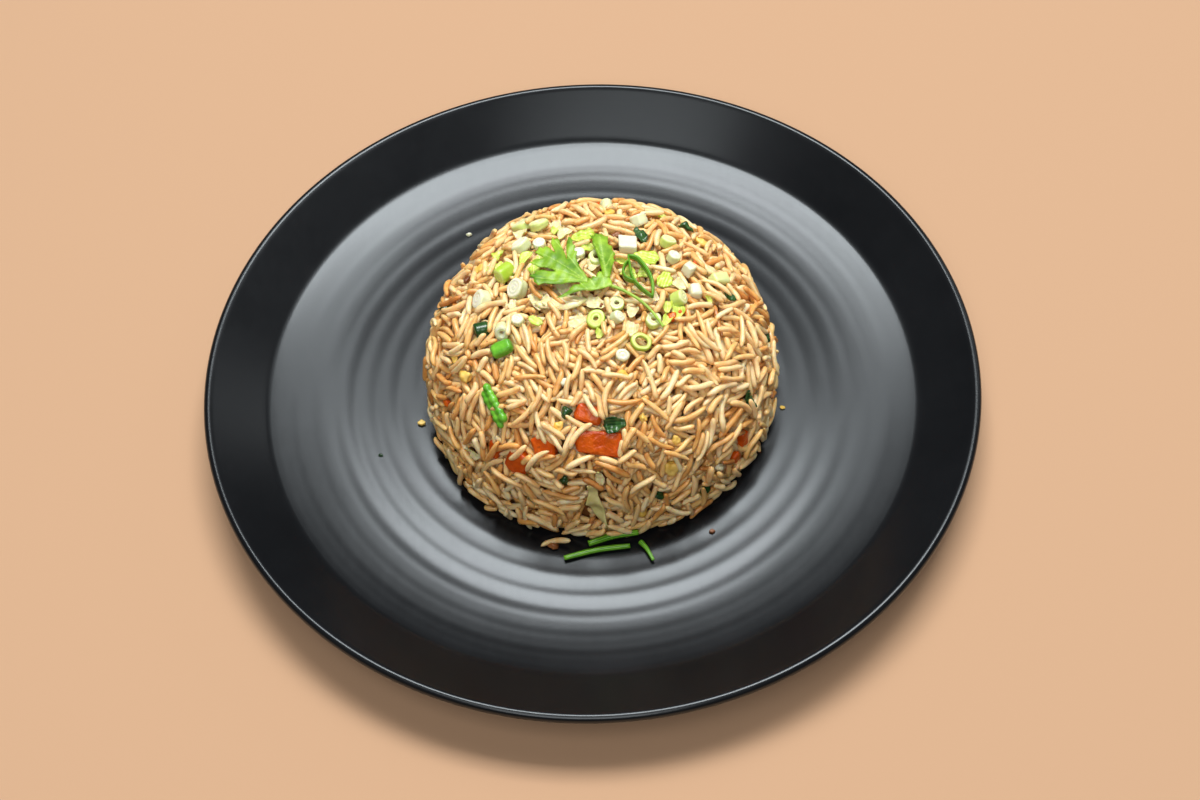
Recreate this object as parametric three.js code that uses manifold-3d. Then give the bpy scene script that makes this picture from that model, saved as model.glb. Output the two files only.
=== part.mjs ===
// Fried rice served as a moulded dome on a black plate with a ribbed well.
// Millimetres, +Z up, origin at the middle of the foot ring, on the table.
// The side that faces the diner is -Y.

import * as THREE from "three";
import { ConvexHull } from "three/addons/math/ConvexHull.js";
import { TessellateModifier } from "three/addons/modifiers/TessellateModifier.js";
import { mergeVertices } from "three/addons/utils/BufferGeometryUtils.js";
import Module from "manifold-3d";

// Plate
const PLATE_RADIUS = 140;
const PLATE_HEIGHT = 22;
const PLATE_WALL = 4.2;
const PLATE_SIDES = 56;
const LIP_RADIUS = 1.8;
const LIP_STEPS = 5;
const RIM_SLOPE = 27;
const FLOOR_Z = 7;
const FLOOR_RADIUS = 88;
const WELL_RADIUS = 119;
const WELL_RISE = 3.9;
const RIPPLE_START = 58.5;
const RIPPLE_PITCH = 8;
const RIPPLE_HEIGHT = 0.25;
const FOOT_INNER = 84;
const FOOT_OUTER = 90;
const FOOT_ROUND = 1;

// Rice dome, a superellipse turned about its own axis
const DOME_X = 3.6;
const DOME_RADIUS = 62;
const DOME_HEIGHT = 58;
const DOME_POWER = 2.9;
const TUCK_IN = 2;
const TUCK_HEIGHT = 12;
const BASE_GAP = 0.35;

// Rice grains
const GRAIN_LENGTH = 10.5;
const GRAIN_WIDTH = 2.5;
const BUMP_COUNT = 320;
const BUMP_REACH = 3.1;
const HOLLOW_COUNT = 430;
const PROUD_COUNT = 138;
const TRIES = 14;
const FIT_GAP = 0.35;

const DEGREE = Math.PI / 180;

const wasm = await Module();
wasm.setup();

// Colours
const COLOURS = {
  melamine: "#1d1e20",
  rice: "#d3a878",
  whiteOnion: "#eeeed4",
  paleOnion: "#d9e3a2",
  limeOnion: "#b6cf3c",
  green: "#6fae33",
  darkGreen: "#2c4a22",
  carrot: "#d5601c",
  cabbage: "#d2c684",
};

function finish(colour, roughness) {
  return new THREE.MeshStandardMaterial({ color: COLOURS[colour], roughness, metalness: 0 });
}

// Seeded random numbers from 0 to 1
function seededRandom(seed) {
  let state = seed;
  return () => {
    state = (state + 0x6d2b79f5) | 0;
    let mixed = Math.imul(state ^ (state >>> 15), 1 | state);
    mixed = (mixed + Math.imul(mixed ^ (mixed >>> 7), 61 | mixed)) ^ mixed;
    return ((mixed ^ (mixed >>> 14)) >>> 0) / 4294967296;
  };
}

// Solids for joining and cutting
function solidOf(geometry, matrix = new THREE.Matrix4()) {
  const bare = geometry.clone();
  bare.deleteAttribute("normal");
  bare.deleteAttribute("uv");
  const merged = mergeVertices(bare, 1e-3);
  merged.applyMatrix4(matrix);
  return new wasm.Manifold(
    new wasm.Mesh({
      numProp: 3,
      vertProperties: merged.attributes.position.array,
      triVerts: new Uint32Array(merged.index.array),
    }),
  );
}

function geometryOf(solid) {
  const mesh = solid.getMesh();
  const geometry = new THREE.BufferGeometry();
  geometry.setAttribute("position", new THREE.BufferAttribute(mesh.vertProperties, 3));
  geometry.setIndex(new THREE.BufferAttribute(mesh.triVerts, 1));
  return geometry;
}

function mainBody(solid) {
  const bodies = solid.decompose();
  bodies.sort((a, b) => b.volume() - a.volume());
  return bodies[0];
}

// Plate surface, as the height of its top at a distance from the middle
function wellHeight(radius) {
  const run = Math.max(0, radius - FLOOR_RADIUS) / (WELL_RADIUS - FLOOR_RADIUS);
  return FLOOR_Z + WELL_RISE * run * run;
}

function plateTop(radius) {
  if (radius < RIPPLE_START) return wellHeight(radius);
  const phase = (2 * Math.PI * (radius - RIPPLE_START)) / RIPPLE_PITCH;
  return wellHeight(radius) - RIPPLE_HEIGHT * Math.cos(phase);
}

function plateProfile() {
  const points = [new THREE.Vector2(0, FLOOR_Z)];
  for (let radius = RIPPLE_START; radius < WELL_RADIUS; radius += RIPPLE_PITCH / 2) {
    points.push(new THREE.Vector2(radius, plateTop(radius)));
  }
  const lipRadius = PLATE_RADIUS - LIP_RADIUS;
  const lipZ = PLATE_HEIGHT - LIP_RADIUS;
  for (let step = 0; step <= LIP_STEPS; step += 1) {
    const angle = (90 + RIM_SLOPE - (180 * step) / LIP_STEPS) * DEGREE;
    points.push(
      new THREE.Vector2(lipRadius + LIP_RADIUS * Math.cos(angle), lipZ + LIP_RADIUS * Math.sin(angle)),
    );
  }
  for (const radius of [WELL_RADIUS, (WELL_RADIUS + FOOT_OUTER) / 2, FOOT_OUTER + FOOT_ROUND]) {
    points.push(new THREE.Vector2(radius, wellHeight(radius) - PLATE_WALL));
  }
  points.push(new THREE.Vector2(FOOT_OUTER + FOOT_ROUND, FOOT_ROUND));
  points.push(new THREE.Vector2(FOOT_OUTER, 0));
  points.push(new THREE.Vector2(FOOT_INNER, 0));
  points.push(new THREE.Vector2(FOOT_INNER - FOOT_ROUND, FOOT_ROUND));
  for (const radius of [FOOT_INNER - FOOT_ROUND, 0]) {
    points.push(new THREE.Vector2(radius, wellHeight(radius) - PLATE_WALL));
  }
  return points.reverse();
}

function makePlate() {
  const geometry = new THREE.LatheGeometry(plateProfile(), PLATE_SIDES);
  const mesh = new THREE.Mesh(geometry, finish("melamine", 0.45));
  mesh.name = "plate";
  mesh.rotation.x = Math.PI / 2;
  return mesh;
}

// Dome surface. A place on it is a bearing in degrees, counterclockwise from +X,
// and an arc, the distance from the crown along the surface.
function domeOutline() {
  const steps = 90;
  const points = [];
  for (let step = 0; step <= steps; step += 1) {
    const turn = ((Math.PI / 2) * step) / steps;
    const height = DOME_HEIGHT * Math.cos(turn) ** (2 / DOME_POWER);
    const low = Math.max(0, 1 - height / TUCK_HEIGHT);
    const radius = DOME_RADIUS * Math.sin(turn) ** (2 / DOME_POWER) - TUCK_IN * low * low;
    points.push(new THREE.Vector2(radius, height));
  }
  return new THREE.SplineCurve(points);
}

const dome = domeOutline();
dome.arcLengthDivisions = 900;
const DOME_ARC = dome.getLength();

function onDome(bearing, arc, lift = 0) {
  const share = THREE.MathUtils.clamp(arc / DOME_ARC, 0, 1);
  const point = dome.getPointAt(share);
  const tangent = dome.getTangentAt(share);
  const cos = Math.cos(bearing * DEGREE);
  const sin = Math.sin(bearing * DEGREE);
  const normal = new THREE.Vector3(-tangent.y * cos, -tangent.y * sin, tangent.x);
  const uphill = new THREE.Vector3(-tangent.x * cos, -tangent.x * sin, -tangent.y);
  const position = new THREE.Vector3(point.x * cos, point.x * sin, point.y);
  position.addScaledVector(normal, lift);
  return { position, normal, uphill, radius: point.x };
}

// A frame on the dome: Z leaves the surface, Y runs uphill, then spin about Z and lean about X
function domeFrame({ bearing, arc, lift = 0, spin = 0, lean = 0 }) {
  const { position, normal, uphill } = onDome(bearing, arc, lift);
  const across = new THREE.Vector3().crossVectors(uphill, normal);
  const matrix = new THREE.Matrix4().makeBasis(across, uphill, normal).setPosition(position);
  matrix.multiply(new THREE.Matrix4().makeRotationZ(spin * DEGREE));
  matrix.multiply(new THREE.Matrix4().makeRotationX(lean * DEGREE));
  return matrix;
}

// Height of the dome's surface over its base at a place in plan
function domeHeight(x, y) {
  const share = Math.min(1, Math.hypot(x, y) / DOME_RADIUS);
  return DOME_HEIGHT * (1 - share ** DOME_POWER) ** (1 / DOME_POWER);
}

function plateClearance(point) {
  return point.z + FLOOR_Z - plateTop(Math.hypot(point.x + DOME_X, point.y));
}

// Round slices, which become rings when they have a hole
function sliceGeometry({ across, thick, hole = 0, sides = 9 }, grow) {
  const outer = across / 2 + grow;
  const half = thick / 2 + grow;
  const inner = grow > 0 ? 0 : hole / 2;
  const profile = [
    new THREE.Vector2(inner, -half),
    new THREE.Vector2(outer, -half),
    new THREE.Vector2(outer, half),
    new THREE.Vector2(inner, half),
  ];
  if (inner > 0) profile.push(profile[0].clone());
  const geometry = new THREE.LatheGeometry(profile, sides);
  geometry.rotateX(Math.PI / 2);
  return geometry;
}

// Cut blocks whose corners and edges are drawn in
function blockGeometry({ wide, deep, tall, cuts = 2, draw = 0.12 }, grow) {
  const size = [wide + 2 * grow, deep + 2 * grow, tall + 2 * grow];
  const geometry = new THREE.BoxGeometry(...size, cuts, cuts, cuts);
  const position = geometry.attributes.position;
  const point = new THREE.Vector3();
  for (let index = 0; index < position.count; index += 1) {
    point.fromBufferAttribute(position, index);
    const parts = point.toArray().map((value, axis) => Math.abs(value) / (size[axis] / 2));
    const corner = Math.max(0, parts[0] + parts[1] + parts[2] - 1);
    point.multiplyScalar(1 - (grow > 0 ? 0 : (draw * corner) / 2));
    position.setXYZ(index, point.x, point.y, point.z);
  }
  return geometry;
}

// A thin sheet over an outline in plan. The bend gives its height, and both faces are split alike.
function sheetGeometry(outline, bend, thickness, longest = 6) {
  const shape = new THREE.Shape(outline.map(([x, y]) => new THREE.Vector2(x, y)));
  const bare = new THREE.ShapeGeometry(shape).toNonIndexed();
  bare.deleteAttribute("normal");
  bare.deleteAttribute("uv");
  const flat = mergeVertices(new TessellateModifier(longest, 8).modify(bare), 1e-3);
  const position = flat.attributes.position;
  const count = position.count;
  const points = [];
  for (const side of [0.5, -0.5]) {
    for (let index = 0; index < count; index += 1) {
      const x = position.getX(index);
      const y = position.getY(index);
      points.push(x, y, bend(x, y) + side * thickness);
    }
  }
  const geometry = new THREE.BufferGeometry();
  geometry.setAttribute("position", new THREE.Float32BufferAttribute(points, 3));
  geometry.setIndex(closedFaces(flat.index.array, count));
  return geometry;
}

// Faces of both sides of a sheet, and of the wall along its open edges
function closedFaces(faces, count) {
  const closed = [];
  const edges = new Set();
  for (let start = 0; start < faces.length; start += 3) {
    const [a, b, c] = [faces[start], faces[start + 1], faces[start + 2]];
    closed.push(a, b, c, a + count, c + count, b + count);
    edges.add(`${a} ${b}`).add(`${b} ${c}`).add(`${c} ${a}`);
  }
  for (const edge of edges) {
    const [a, b] = edge.split(" ").map(Number);
    if (edges.has(`${b} ${a}`)) continue;
    closed.push(a, a + count, b, b, a + count, b + count);
  }
  return closed;
}

// An outline grown outwards from its middle
function grownOutline(outline, grow) {
  if (grow === 0) return outline;
  const middle = [0, 1].map((axis) => outline.reduce((sum, p) => sum + p[axis], 0) / outline.length);
  return outline.map((point) => {
    const [dx, dy] = [point[0] - middle[0], point[1] - middle[1]];
    const share = 1 + grow / Math.hypot(dx, dy);
    return [middle[0] + dx * share, middle[1] + dy * share];
  });
}

// A leafy scrap: an oval outline with a wavy edge, cupped across its width
function scrapGeometry({ wide, deep, cup = 0.8, thin = 0.8, points = 12 }, grow) {
  const outline = [];
  for (let index = 0; index < points; index += 1) {
    const angle = (2 * Math.PI * index) / points;
    const ragged = 1 + 0.14 * Math.sin(3 * angle + wide);
    outline.push([(wide / 2) * ragged * Math.cos(angle), (deep / 2) * ragged * Math.sin(angle)]);
  }
  const bend = (x, y) => cup * ((2 * y) / deep) ** 2 - cup / 2 + 0.15 * cup * Math.sin(x);
  return sheetGeometry(grownOutline(outline, grow), bend, thin + 2 * grow, 5);
}

// A band swept along a curve, with a section of four to six sides
function bandGeometry(points, wide, tall, steps, sides = 4) {
  const section = new THREE.Shape();
  for (let side = 0; side < sides; side += 1) {
    const angle = (2 * Math.PI * (side + 0.5)) / sides;
    const reach = 1 / Math.cos(Math.PI / sides) / 2;
    const corner = [wide * reach * Math.cos(angle), tall * reach * Math.sin(angle)];
    if (side === 0) section.moveTo(...corner);
    else section.lineTo(...corner);
  }
  section.closePath();
  const extrudePath = new THREE.CatmullRomCurve3(points);
  return new THREE.ExtrudeGeometry(section, { steps, bevelEnabled: false, extrudePath });
}

// A bumpy bean pod: two rows of swellings along a bent stalk
function podGeometry({ wide, deep, swellings = 5 }, grow) {
  const parts = [];
  for (let index = 0; index < swellings; index += 1) {
    const along = (index / (swellings - 1) - 0.5) * (deep - 3);
    const offset = (index % 2 === 0 ? -1 : 1) * wide * 0.12;
    const bead = new THREE.IcosahedronGeometry(wide / 2.3 + grow, 0);
    bead.scale(1, 1.25, 0.85);
    parts.push(solidOf(bead.translate(offset, along, 0)));
  }
  return geometryOf(wasm.Manifold.union(parts));
}

const BUILDERS = { slice: sliceGeometry, block: blockGeometry, scrap: scrapGeometry, pod: podGeometry };

// Chopped vegetables on the dome. Lift is the middle of the piece over the surface.
const ONION_PIECES = [
  { colour: "paleOnion", bearing: 125, arc: 48, lift: 0.6, across: 7.3, thick: 3.2, lean: 10 },
  { colour: "paleOnion", bearing: 120, arc: 41, lift: 0.9, across: 7.2, thick: 2.8, hole: 2.4, lean: 14 },
  { colour: "whiteOnion", bearing: 138, arc: 36, lift: 0.9, across: 7.1, thick: 3.6, lean: 20 },
  { colour: "whiteOnion", bearing: 131, arc: 30.6, lift: 0.7, across: 4.8, thick: 3.2, spin: 30 },
  { colour: "limeOnion", bearing: 160, arc: 34.5, lift: 1, across: 5.6, thick: 6.6, spin: 70, lean: 75 },
  { colour: "whiteOnion", bearing: 174, arc: 28, lift: 1.1, across: 7, thick: 4.2, spin: 40, lean: 30 },
  { colour: "whiteOnion", bearing: 177, arc: 41, lift: 1, across: 7, thick: 4.2, spin: 20, lean: 25 },
  {
    colour: "whiteOnion", bearing: 201, arc: 36, lift: 0.8,
    across: 5.4, thick: 4.2, hole: 1.8, spin: 80, lean: 55,
  },
  { colour: "whiteOnion", bearing: 200, arc: 29.6, lift: 0.9, across: 4.4, thick: 3 },
  { colour: "whiteOnion", bearing: 111, arc: 18, lift: 0.5, across: 4.6, thick: 2.8 },
  { colour: "paleOnion", bearing: 90, arc: 14.6, lift: 0.6, across: 6.6, thick: 2.6, hole: 3.2 },
  { colour: "limeOnion", bearing: 264, arc: 12.6, lift: 0.9, across: 6.6, thick: 2.4, hole: 2, lean: 12 },
  { colour: "whiteOnion", bearing: 296, arc: 13.4, lift: 1, across: 4.4, thick: 3.6, spin: 50, lean: 40 },
  { colour: "paleOnion", bearing: 314, arc: 8.6, lift: 0.6, across: 5.6, thick: 2.2, hole: 2 },
  { colour: "paleOnion", bearing: 42, arc: 33.4, lift: 1, across: 5.5, thick: 3.6, lean: 15 },
  { colour: "whiteOnion", bearing: 66, arc: 37.5, lift: 0.8, across: 5.8, thick: 4.2, spin: 60, lean: 45 },
  { colour: "whiteOnion", bearing: 29, arc: 30.2, lift: 1, across: 4.7, thick: 3.6, lean: 10 },
  { colour: "paleOnion", bearing: 352, arc: 27.4, lift: 0.9, across: 5.4, thick: 4.6, spin: 10, lean: 40 },
  { colour: "paleOnion", bearing: 324, arc: 22.4, lift: 0.8, across: 5.8, thick: 2.6, hole: 2 },
  { colour: "limeOnion", bearing: 302, arc: 25.6, lift: 0.8, across: 6.8, thick: 2.4, hole: 4.2, lean: 8 },
  { colour: "whiteOnion", bearing: 285, arc: 27.5, lift: 0.6, across: 4.6, thick: 2.8, lean: 12 },
  { colour: "whiteOnion", bearing: 85, arc: 47, lift: 0.4, across: 4.8, thick: 4.4, spin: 15, lean: 60 },
].map((piece, index) => ({ kind: "slice", name: `onion_slice_${index + 1}`, ...piece }));

const DICE_PIECES = [
  { colour: "whiteOnion", bearing: 62, arc: 22.6, lift: 1, wide: 6.2, deep: 6, tall: 3.6, spin: 25, draw: 0.3 },
  { colour: "whiteOnion", bearing: 17, arc: 33, lift: 1.1, wide: 4.2, deep: 4.2, tall: 4, spin: 30, lean: 12 },
  {
    colour: "whiteOnion", bearing: 0.5, arc: 33.2, lift: 1.1,
    wide: 4.6, deep: 4.2, tall: 4, spin: 8, lean: -10,
  },
  { colour: "paleOnion", bearing: 11.5, arc: 44, lift: 0.8, wide: 4.4, deep: 7.6, tall: 3.4, spin: 15 },
].map((piece, index) => ({ kind: "block", name: `onion_dice_${index + 1}`, ...piece }));

const LEAFY_PIECES = [
  { name: "onion_leaf_1", colour: "limeOnion", bearing: 145, arc: 30.6, lift: 1, wide: 7, deep: 3.6 },
  {
    name: "onion_leaf_2", colour: "limeOnion", bearing: 207, arc: 24.6, lift: 0.8,
    wide: 5.6, deep: 3.2, spin: 25,
  },
  {
    name: "onion_leaf_3", colour: "limeOnion", bearing: 100, arc: 25.2, lift: 1.2,
    wide: 8.4, deep: 6, cup: 1.6,
  },
  {
    name: "onion_leaf_4", colour: "limeOnion", bearing: 10, arc: 23.2, lift: 1,
    wide: 7.4, deep: 5.2, spin: -30,
  },
  { name: "onion_leaf_5", colour: "limeOnion", bearing: 39, arc: 22, lift: 1, wide: 8.6, deep: 6.4, spin: 35 },
  {
    name: "green_leaf_1", colour: "darkGreen", bearing: 59, arc: 29.6, lift: 1.2,
    wide: 8, deep: 3.8, spin: -38, cup: 1.2,
  },
  {
    name: "green_leaf_2", colour: "darkGreen", bearing: 48, arc: 50, lift: 1,
    wide: 5.6, deep: 3.8, spin: 30, cup: 1.2,
  },
  { name: "green_leaf_3", colour: "darkGreen", bearing: 3, arc: 47, lift: 0.8, wide: 2.6, deep: 5.6 },
  { name: "green_leaf_4", colour: "darkGreen", bearing: 330, arc: 69, lift: 0.7, wide: 4, deep: 9, cup: 1 },
  {
    name: "green_leaf_5", colour: "darkGreen", bearing: 274, arc: 50, lift: 1,
    wide: 7.6, deep: 5.4, cup: 1.6, thin: 1.2,
  },
].map((piece) => ({ kind: "scrap", ...piece }));

const BEAN_PIECES = [
  {
    name: "bean_1", kind: "slice", colour: "darkGreen", bearing: 194, arc: 42.4, lift: 1,
    across: 5.4, thick: 5, lean: 60,
  },
  {
    name: "bean_2", kind: "block", colour: "green", bearing: 210, arc: 39.2, lift: 1.2,
    wide: 5, deep: 7.4, tall: 3.6, spin: -15,
  },
  {
    name: "bean_pod", kind: "pod", colour: "green", bearing: 225, arc: 55, lift: 1.1,
    wide: 5.6, deep: 14.6, spin: 64,
  },
];

const CARROT_PIECES = [
  { bearing: 267, arc: 56.6, lift: -2.6, wide: 17, deep: 8.6, tall: 6.4, spin: -6 },
  { bearing: 263.5, arc: 46.4, lift: -2.4, wide: 9, deep: 6, tall: 6, spin: -14 },
  { bearing: 248, arc: 61, lift: -2.5, wide: 7.8, deep: 7.8, tall: 6.4, spin: 24 },
  { bearing: 239.5, arc: 70.5, lift: -2.2, wide: 8, deep: 8.8, tall: 6.4, spin: -12 },
  { bearing: 229.5, arc: 70.5, lift: -1.9, wide: 3.8, deep: 7, tall: 5, spin: 10 },
  { bearing: 323, arc: 81.5, lift: -1.6, wide: 3.8, deep: 6.4, tall: 4.6, spin: -12 },
  { bearing: 318, arc: 87.5, lift: -1.5, wide: 4.4, deep: 4.6, tall: 4.4, spin: 20 },
].map((piece, index) => ({ kind: "block", name: `carrot_${index + 1}`, colour: "carrot", draw: 0.2, ...piece }));

// A soft petal of onion over the crown, and a strip of cabbage down the front
const PETAL_OUTLINE = [
  [-22.1, -4.6], [-19, -2.6], [-15.2, -1.6], [-10.6, -2.4], [-6, -2.2],
  [-3.4, -3.6], [-6.9, -6.9], [-11.2, -8.1], [-16.4, -6.8], [-20, -6.6],
];
const CABBAGE_OUTLINE = [
  [-3.4, 10.4], [0.2, 9], [1, 4.6], [3.2, 1], [4.4, -4],
  [6.2, -9.6], [3.4, -8.4], [-0.4, -3.4], [-3, 1.4], [-2.4, 5.6],
];

const PETAL_LIFT = 1;
const PETAL_THICKNESS = 0.8;
const CABBAGE_THICKNESS = 0.9;
const CABBAGE_PLACE = { bearing: 266, arc: 82, lift: 0.4, spin: -6 };
const SHEET_EDGE = 7;

function petalGeometry(grow) {
  const bend = (x, y) => domeHeight(x, y) + PETAL_LIFT + 0.35 * Math.sin(0.5 * x) - 0.05 * (y + 5) ** 2;
  return sheetGeometry(grownOutline(PETAL_OUTLINE, grow), bend, PETAL_THICKNESS + 2 * grow, SHEET_EDGE);
}

function cabbageGeometry(grow) {
  const bend = (x, y) => 0.5 * Math.sin(0.8 * y) + 0.12 * x * x - 0.012 * y * y;
  return sheetGeometry(grownOutline(CABBAGE_OUTLINE, grow), bend, CABBAGE_THICKNESS + 2 * grow, SHEET_EDGE);
}

// Coriander sprig: leaflets with toothed lobes and a bent stalk, in plan about the dome's axis
const LEAF_THICKNESS = 0.5;
const LEAF_EDGE = 9;
const LEAF_LIFT = 4.6;
const FOLDED_LIFT = 4.9;
const STALK_END_LIFT = 3.3;
const LARGE_LEAFLET = [
  [-2.6, 0.4], [-4.9, 5.3], [-7.2, 10.4], [-7.5, 16.8], [-9.6, 21.4], [-11, 13.4], [-11.9, 18.2], [-14.1, 21.2],
  [-15.5, 22.2], [-15.6, 16.2], [-18.3, 17.6], [-20.1, 17.6], [-21.5, 15.5], [-20.2, 12.8], [-23.6, 11.2],
  [-20.4, 8.6], [-16, 7.2], [-20.2, 6.6], [-23.7, 4.6], [-21.6, 1.6], [-20.5, 0], [-15, 0.6], [-7.4, 0.1],
];
const FOLDED_LEAFLET = [
  [1.2, 1.2], [0.6, 10.4], [-0.9, 16.4], [-2.3, 22], [0, 21.4], [1.7, 22.3], [4, 21.2], [3.8, 17.4],
  [5.3, 16.7], [6.3, 13.7], [5.7, 10.2], [5, 7.4], [4, 2.1],
];
const SMALL_LEAFLET = [
  [4.9, -1.8], [4.3, 1], [2.8, 5.6], [1.6, 4], [-0.3, 4], [-1.3, 2.2], [-3.6, 2.7], [-4, 0.7], [-6.2, 0.3],
  [-7.2, -1.2], [-9.5, -1.7], [-11, -3.6], [-14.5, -5.9], [-9.3, -4.2], [-4, -3.2], [1.2, -2.6],
];
const STALK = [
  [4, -1.2], [8.1, -3.3], [11.5, -5.6], [14, -7.5], [16, -9.6], [18.1, -12.2], [19.7, -14.6], [21.3, -17.3],
];
const STALK_THICKNESS = 1.3;

function leafletGeometry(outline, lift, fold) {
  const bend = (x, y) => domeHeight(x, y) + lift + fold(x, y);
  return sheetGeometry(outline, bend, LEAF_THICKNESS, LEAF_EDGE);
}

function sprigGeometry() {
  const wavy = (x, y) => 0.35 * Math.sin(0.55 * x + 0.3 * y) + 0.02 * Math.hypot(x, y);
  const folded = (x, y) => 0.3 - 0.32 * Math.abs(x - 3.2 + 0.12 * y) + 0.25 * Math.sin(0.4 * y);
  const stalk = STALK.map(([x, y], index) => {
    const share = index / (STALK.length - 1);
    const lift = THREE.MathUtils.lerp(LEAF_LIFT, STALK_END_LIFT, share);
    return new THREE.Vector3(x, y, domeHeight(x, y) + lift);
  });
  const parts = [
    leafletGeometry(LARGE_LEAFLET, LEAF_LIFT, wavy),
    leafletGeometry(FOLDED_LEAFLET, FOLDED_LIFT, folded),
    leafletGeometry(SMALL_LEAFLET, LEAF_LIFT, wavy),
    bandGeometry(stalk, STALK_THICKNESS, STALK_THICKNESS, 7, 5),
  ];
  return geometryOf(mainBody(wasm.Manifold.union(parts.map((part) => solidOf(part)))));
}

// A long green ring of spring onion standing on its edge, with a smaller loop beside it
const CURL_LIFT = 4.1;
const CURL_HEIGHT = 3;
const CURL_BANDS = [
  {
    thick: 1.5, steps: 7,
    line: [[10.6, 12], [13.4, 11], [15.3, 8.4], [16.9, 5.3], [18.1, 1.9], [18.5, -1.7], [18.2, -6]],
  },
  { thick: 1.1, steps: 6, line: [[10.6, 12], [11, 7.9], [11.3, 3.9], [12.4, 0.5], [14.8, -2.8], [18.2, -6]] },
  { thick: 1, steps: 5, line: [[10.9, 10], [9.3, 7.6], [8.6, 4.9], [9.2, 2.4], [10.8, 1.2], [12.6, 0.4]] },
];

function curlGeometry() {
  const bands = CURL_BANDS.map(({ thick, steps, line }) => {
    const raised = line.map(([x, y]) => new THREE.Vector3(x, y, domeHeight(x, y) + CURL_LIFT));
    return solidOf(bandGeometry(raised, CURL_HEIGHT, thick, steps));
  });
  return geometryOf(mainBody(wasm.Manifold.union(bands)));
}

// Chives that lie on the plate in front of the rice
const CHIVES = [
  { name: "chive_1", from: [-6.8, -68.2], to: [10.6, -64.4], lift: 4.1, across: 2.4 },
  { name: "chive_2", from: [-15.4, -72.1], to: [7.6, -68.2], lift: 1.5, across: 2 },
  { name: "chive_3", from: [11.2, -66.6], to: [15.4, -74.2], lift: 1.4, across: 1.9 },
];

const CHIVE_BEND = 0.8;

function chiveGeometry({ from, to, lift, across }) {
  const points = [0, 0.5, 1].map((share) => {
    const x = THREE.MathUtils.lerp(from[0], to[0], share);
    const y = THREE.MathUtils.lerp(from[1], to[1], share) + CHIVE_BEND * Math.sin(Math.PI * share);
    return new THREE.Vector3(x, y, plateTop(Math.hypot(x + DOME_X, y)) - FLOOR_Z + lift);
  });
  return bandGeometry(points, across, across, 5, 6);
}

// Every piece on the dome, with its frame and the pocket that it needs in what lies round it
function makeToppings() {
  const toppings = [];
  const still = new THREE.Matrix4();
  const add = (name, colour, matrix, build) => {
    toppings.push({ name, colour, matrix, geometry: build(0), pocket: solidOf(build(FIT_GAP), matrix) });
  };
  for (const piece of [...CARROT_PIECES, ...BEAN_PIECES, ...ONION_PIECES, ...DICE_PIECES, ...LEAFY_PIECES]) {
    const build = (grow) => BUILDERS[piece.kind](piece, grow);
    add(piece.name, piece.colour, domeFrame(piece), build);
  }
  add("cabbage_strip", "cabbage", domeFrame(CABBAGE_PLACE), cabbageGeometry);
  add("onion_petal", "paleOnion", still, petalGeometry);
  return toppings;
}

// Where two pieces lie together, the later one is cut to lie against the earlier one
function settle(toppings) {
  toppings.forEach((topping, index) => {
    const own = solidOf(topping.geometry, topping.matrix);
    let cut = own;
    for (const other of toppings.slice(0, index)) cut = cut.subtract(other.pocket);
    if (cut.volume() > own.volume() - 1e-3) return;
    topping.geometry = geometryOf(mainBody(cut));
    topping.geometry.applyMatrix4(topping.matrix.clone().invert());
  });
}

// Places spread evenly over the dome: each is the one of several tries that is farthest from the rest
function spreadPlaces(random, count, taken, lowest) {
  const places = [];
  const near = [...taken];
  while (places.length < count) {
    let best = null;
    for (let attempt = 0; attempt < TRIES; attempt += 1) {
      const arc = random() * lowest;
      const bearing = random() * 360;
      const spot = onDome(bearing, arc);
      if (random() * DOME_RADIUS > spot.radius) continue;
      const room = Math.min(1e6, ...near.map((other) => other.distanceToSquared(spot.position)));
      if (best === null || room > best.room) best = { bearing, arc, room, position: spot.position };
    }
    if (best === null) continue;
    near.push(best.position);
    places.push(best);
  }
  return places;
}

// A step over the surface from a place, so far downhill and so far sideways
function stepOver({ bearing, arc }, down, side) {
  const stretch = arc < 1 ? 1 : arc / onDome(bearing, arc).radius;
  const reach = Math.hypot(arc + down, side * stretch);
  const turn = Math.atan2(side * stretch, arc + down) / DEGREE;
  return { bearing: bearing + turn, arc: Math.min(reach, DOME_ARC - 1) };
}

// The heap's skin is a net over points on the dome. Each bump is a row of raised points, the
// size of a grain, and the points between the rows are sunk. The net is the hull of the same
// points laid on a ball, so it has no folds.
const BALL_ANGLE_AT_BASE = 112 * DEGREE;
const BASE_POINTS = 48;
const UNDER_POINTS = 20;
const UNDER_RADIUS = 44;
const CORE_INSET = 1.3;
const RIDGE_LIFTS = [-0.5, 0.55, -0.5];
const HOLLOW_DEPTH = 1.9;
const SKIN_END = DOME_ARC - 4;
const PROUD_END = DOME_ARC - 5;
const FRONT_SPILL = 3;

function ballPoint(bearing, angle) {
  const flat = Math.sin(angle);
  return new THREE.Vector3(flat * Math.cos(bearing * DEGREE), flat * Math.sin(bearing * DEGREE), Math.cos(angle));
}

function netPoint({ bearing, arc }, lift) {
  const ball = ballPoint(bearing, (BALL_ANGLE_AT_BASE * arc) / DOME_ARC);
  return { ball, position: onDome(bearing, arc, lift - CORE_INSET).position };
}

function underPoint(bearing, radius, angle) {
  const position = new THREE.Vector3(radius * Math.cos(bearing * DEGREE), radius * Math.sin(bearing * DEGREE), 0);
  position.z = BASE_GAP - plateClearance(position);
  return { ball: ballPoint(bearing, angle), position };
}

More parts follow.
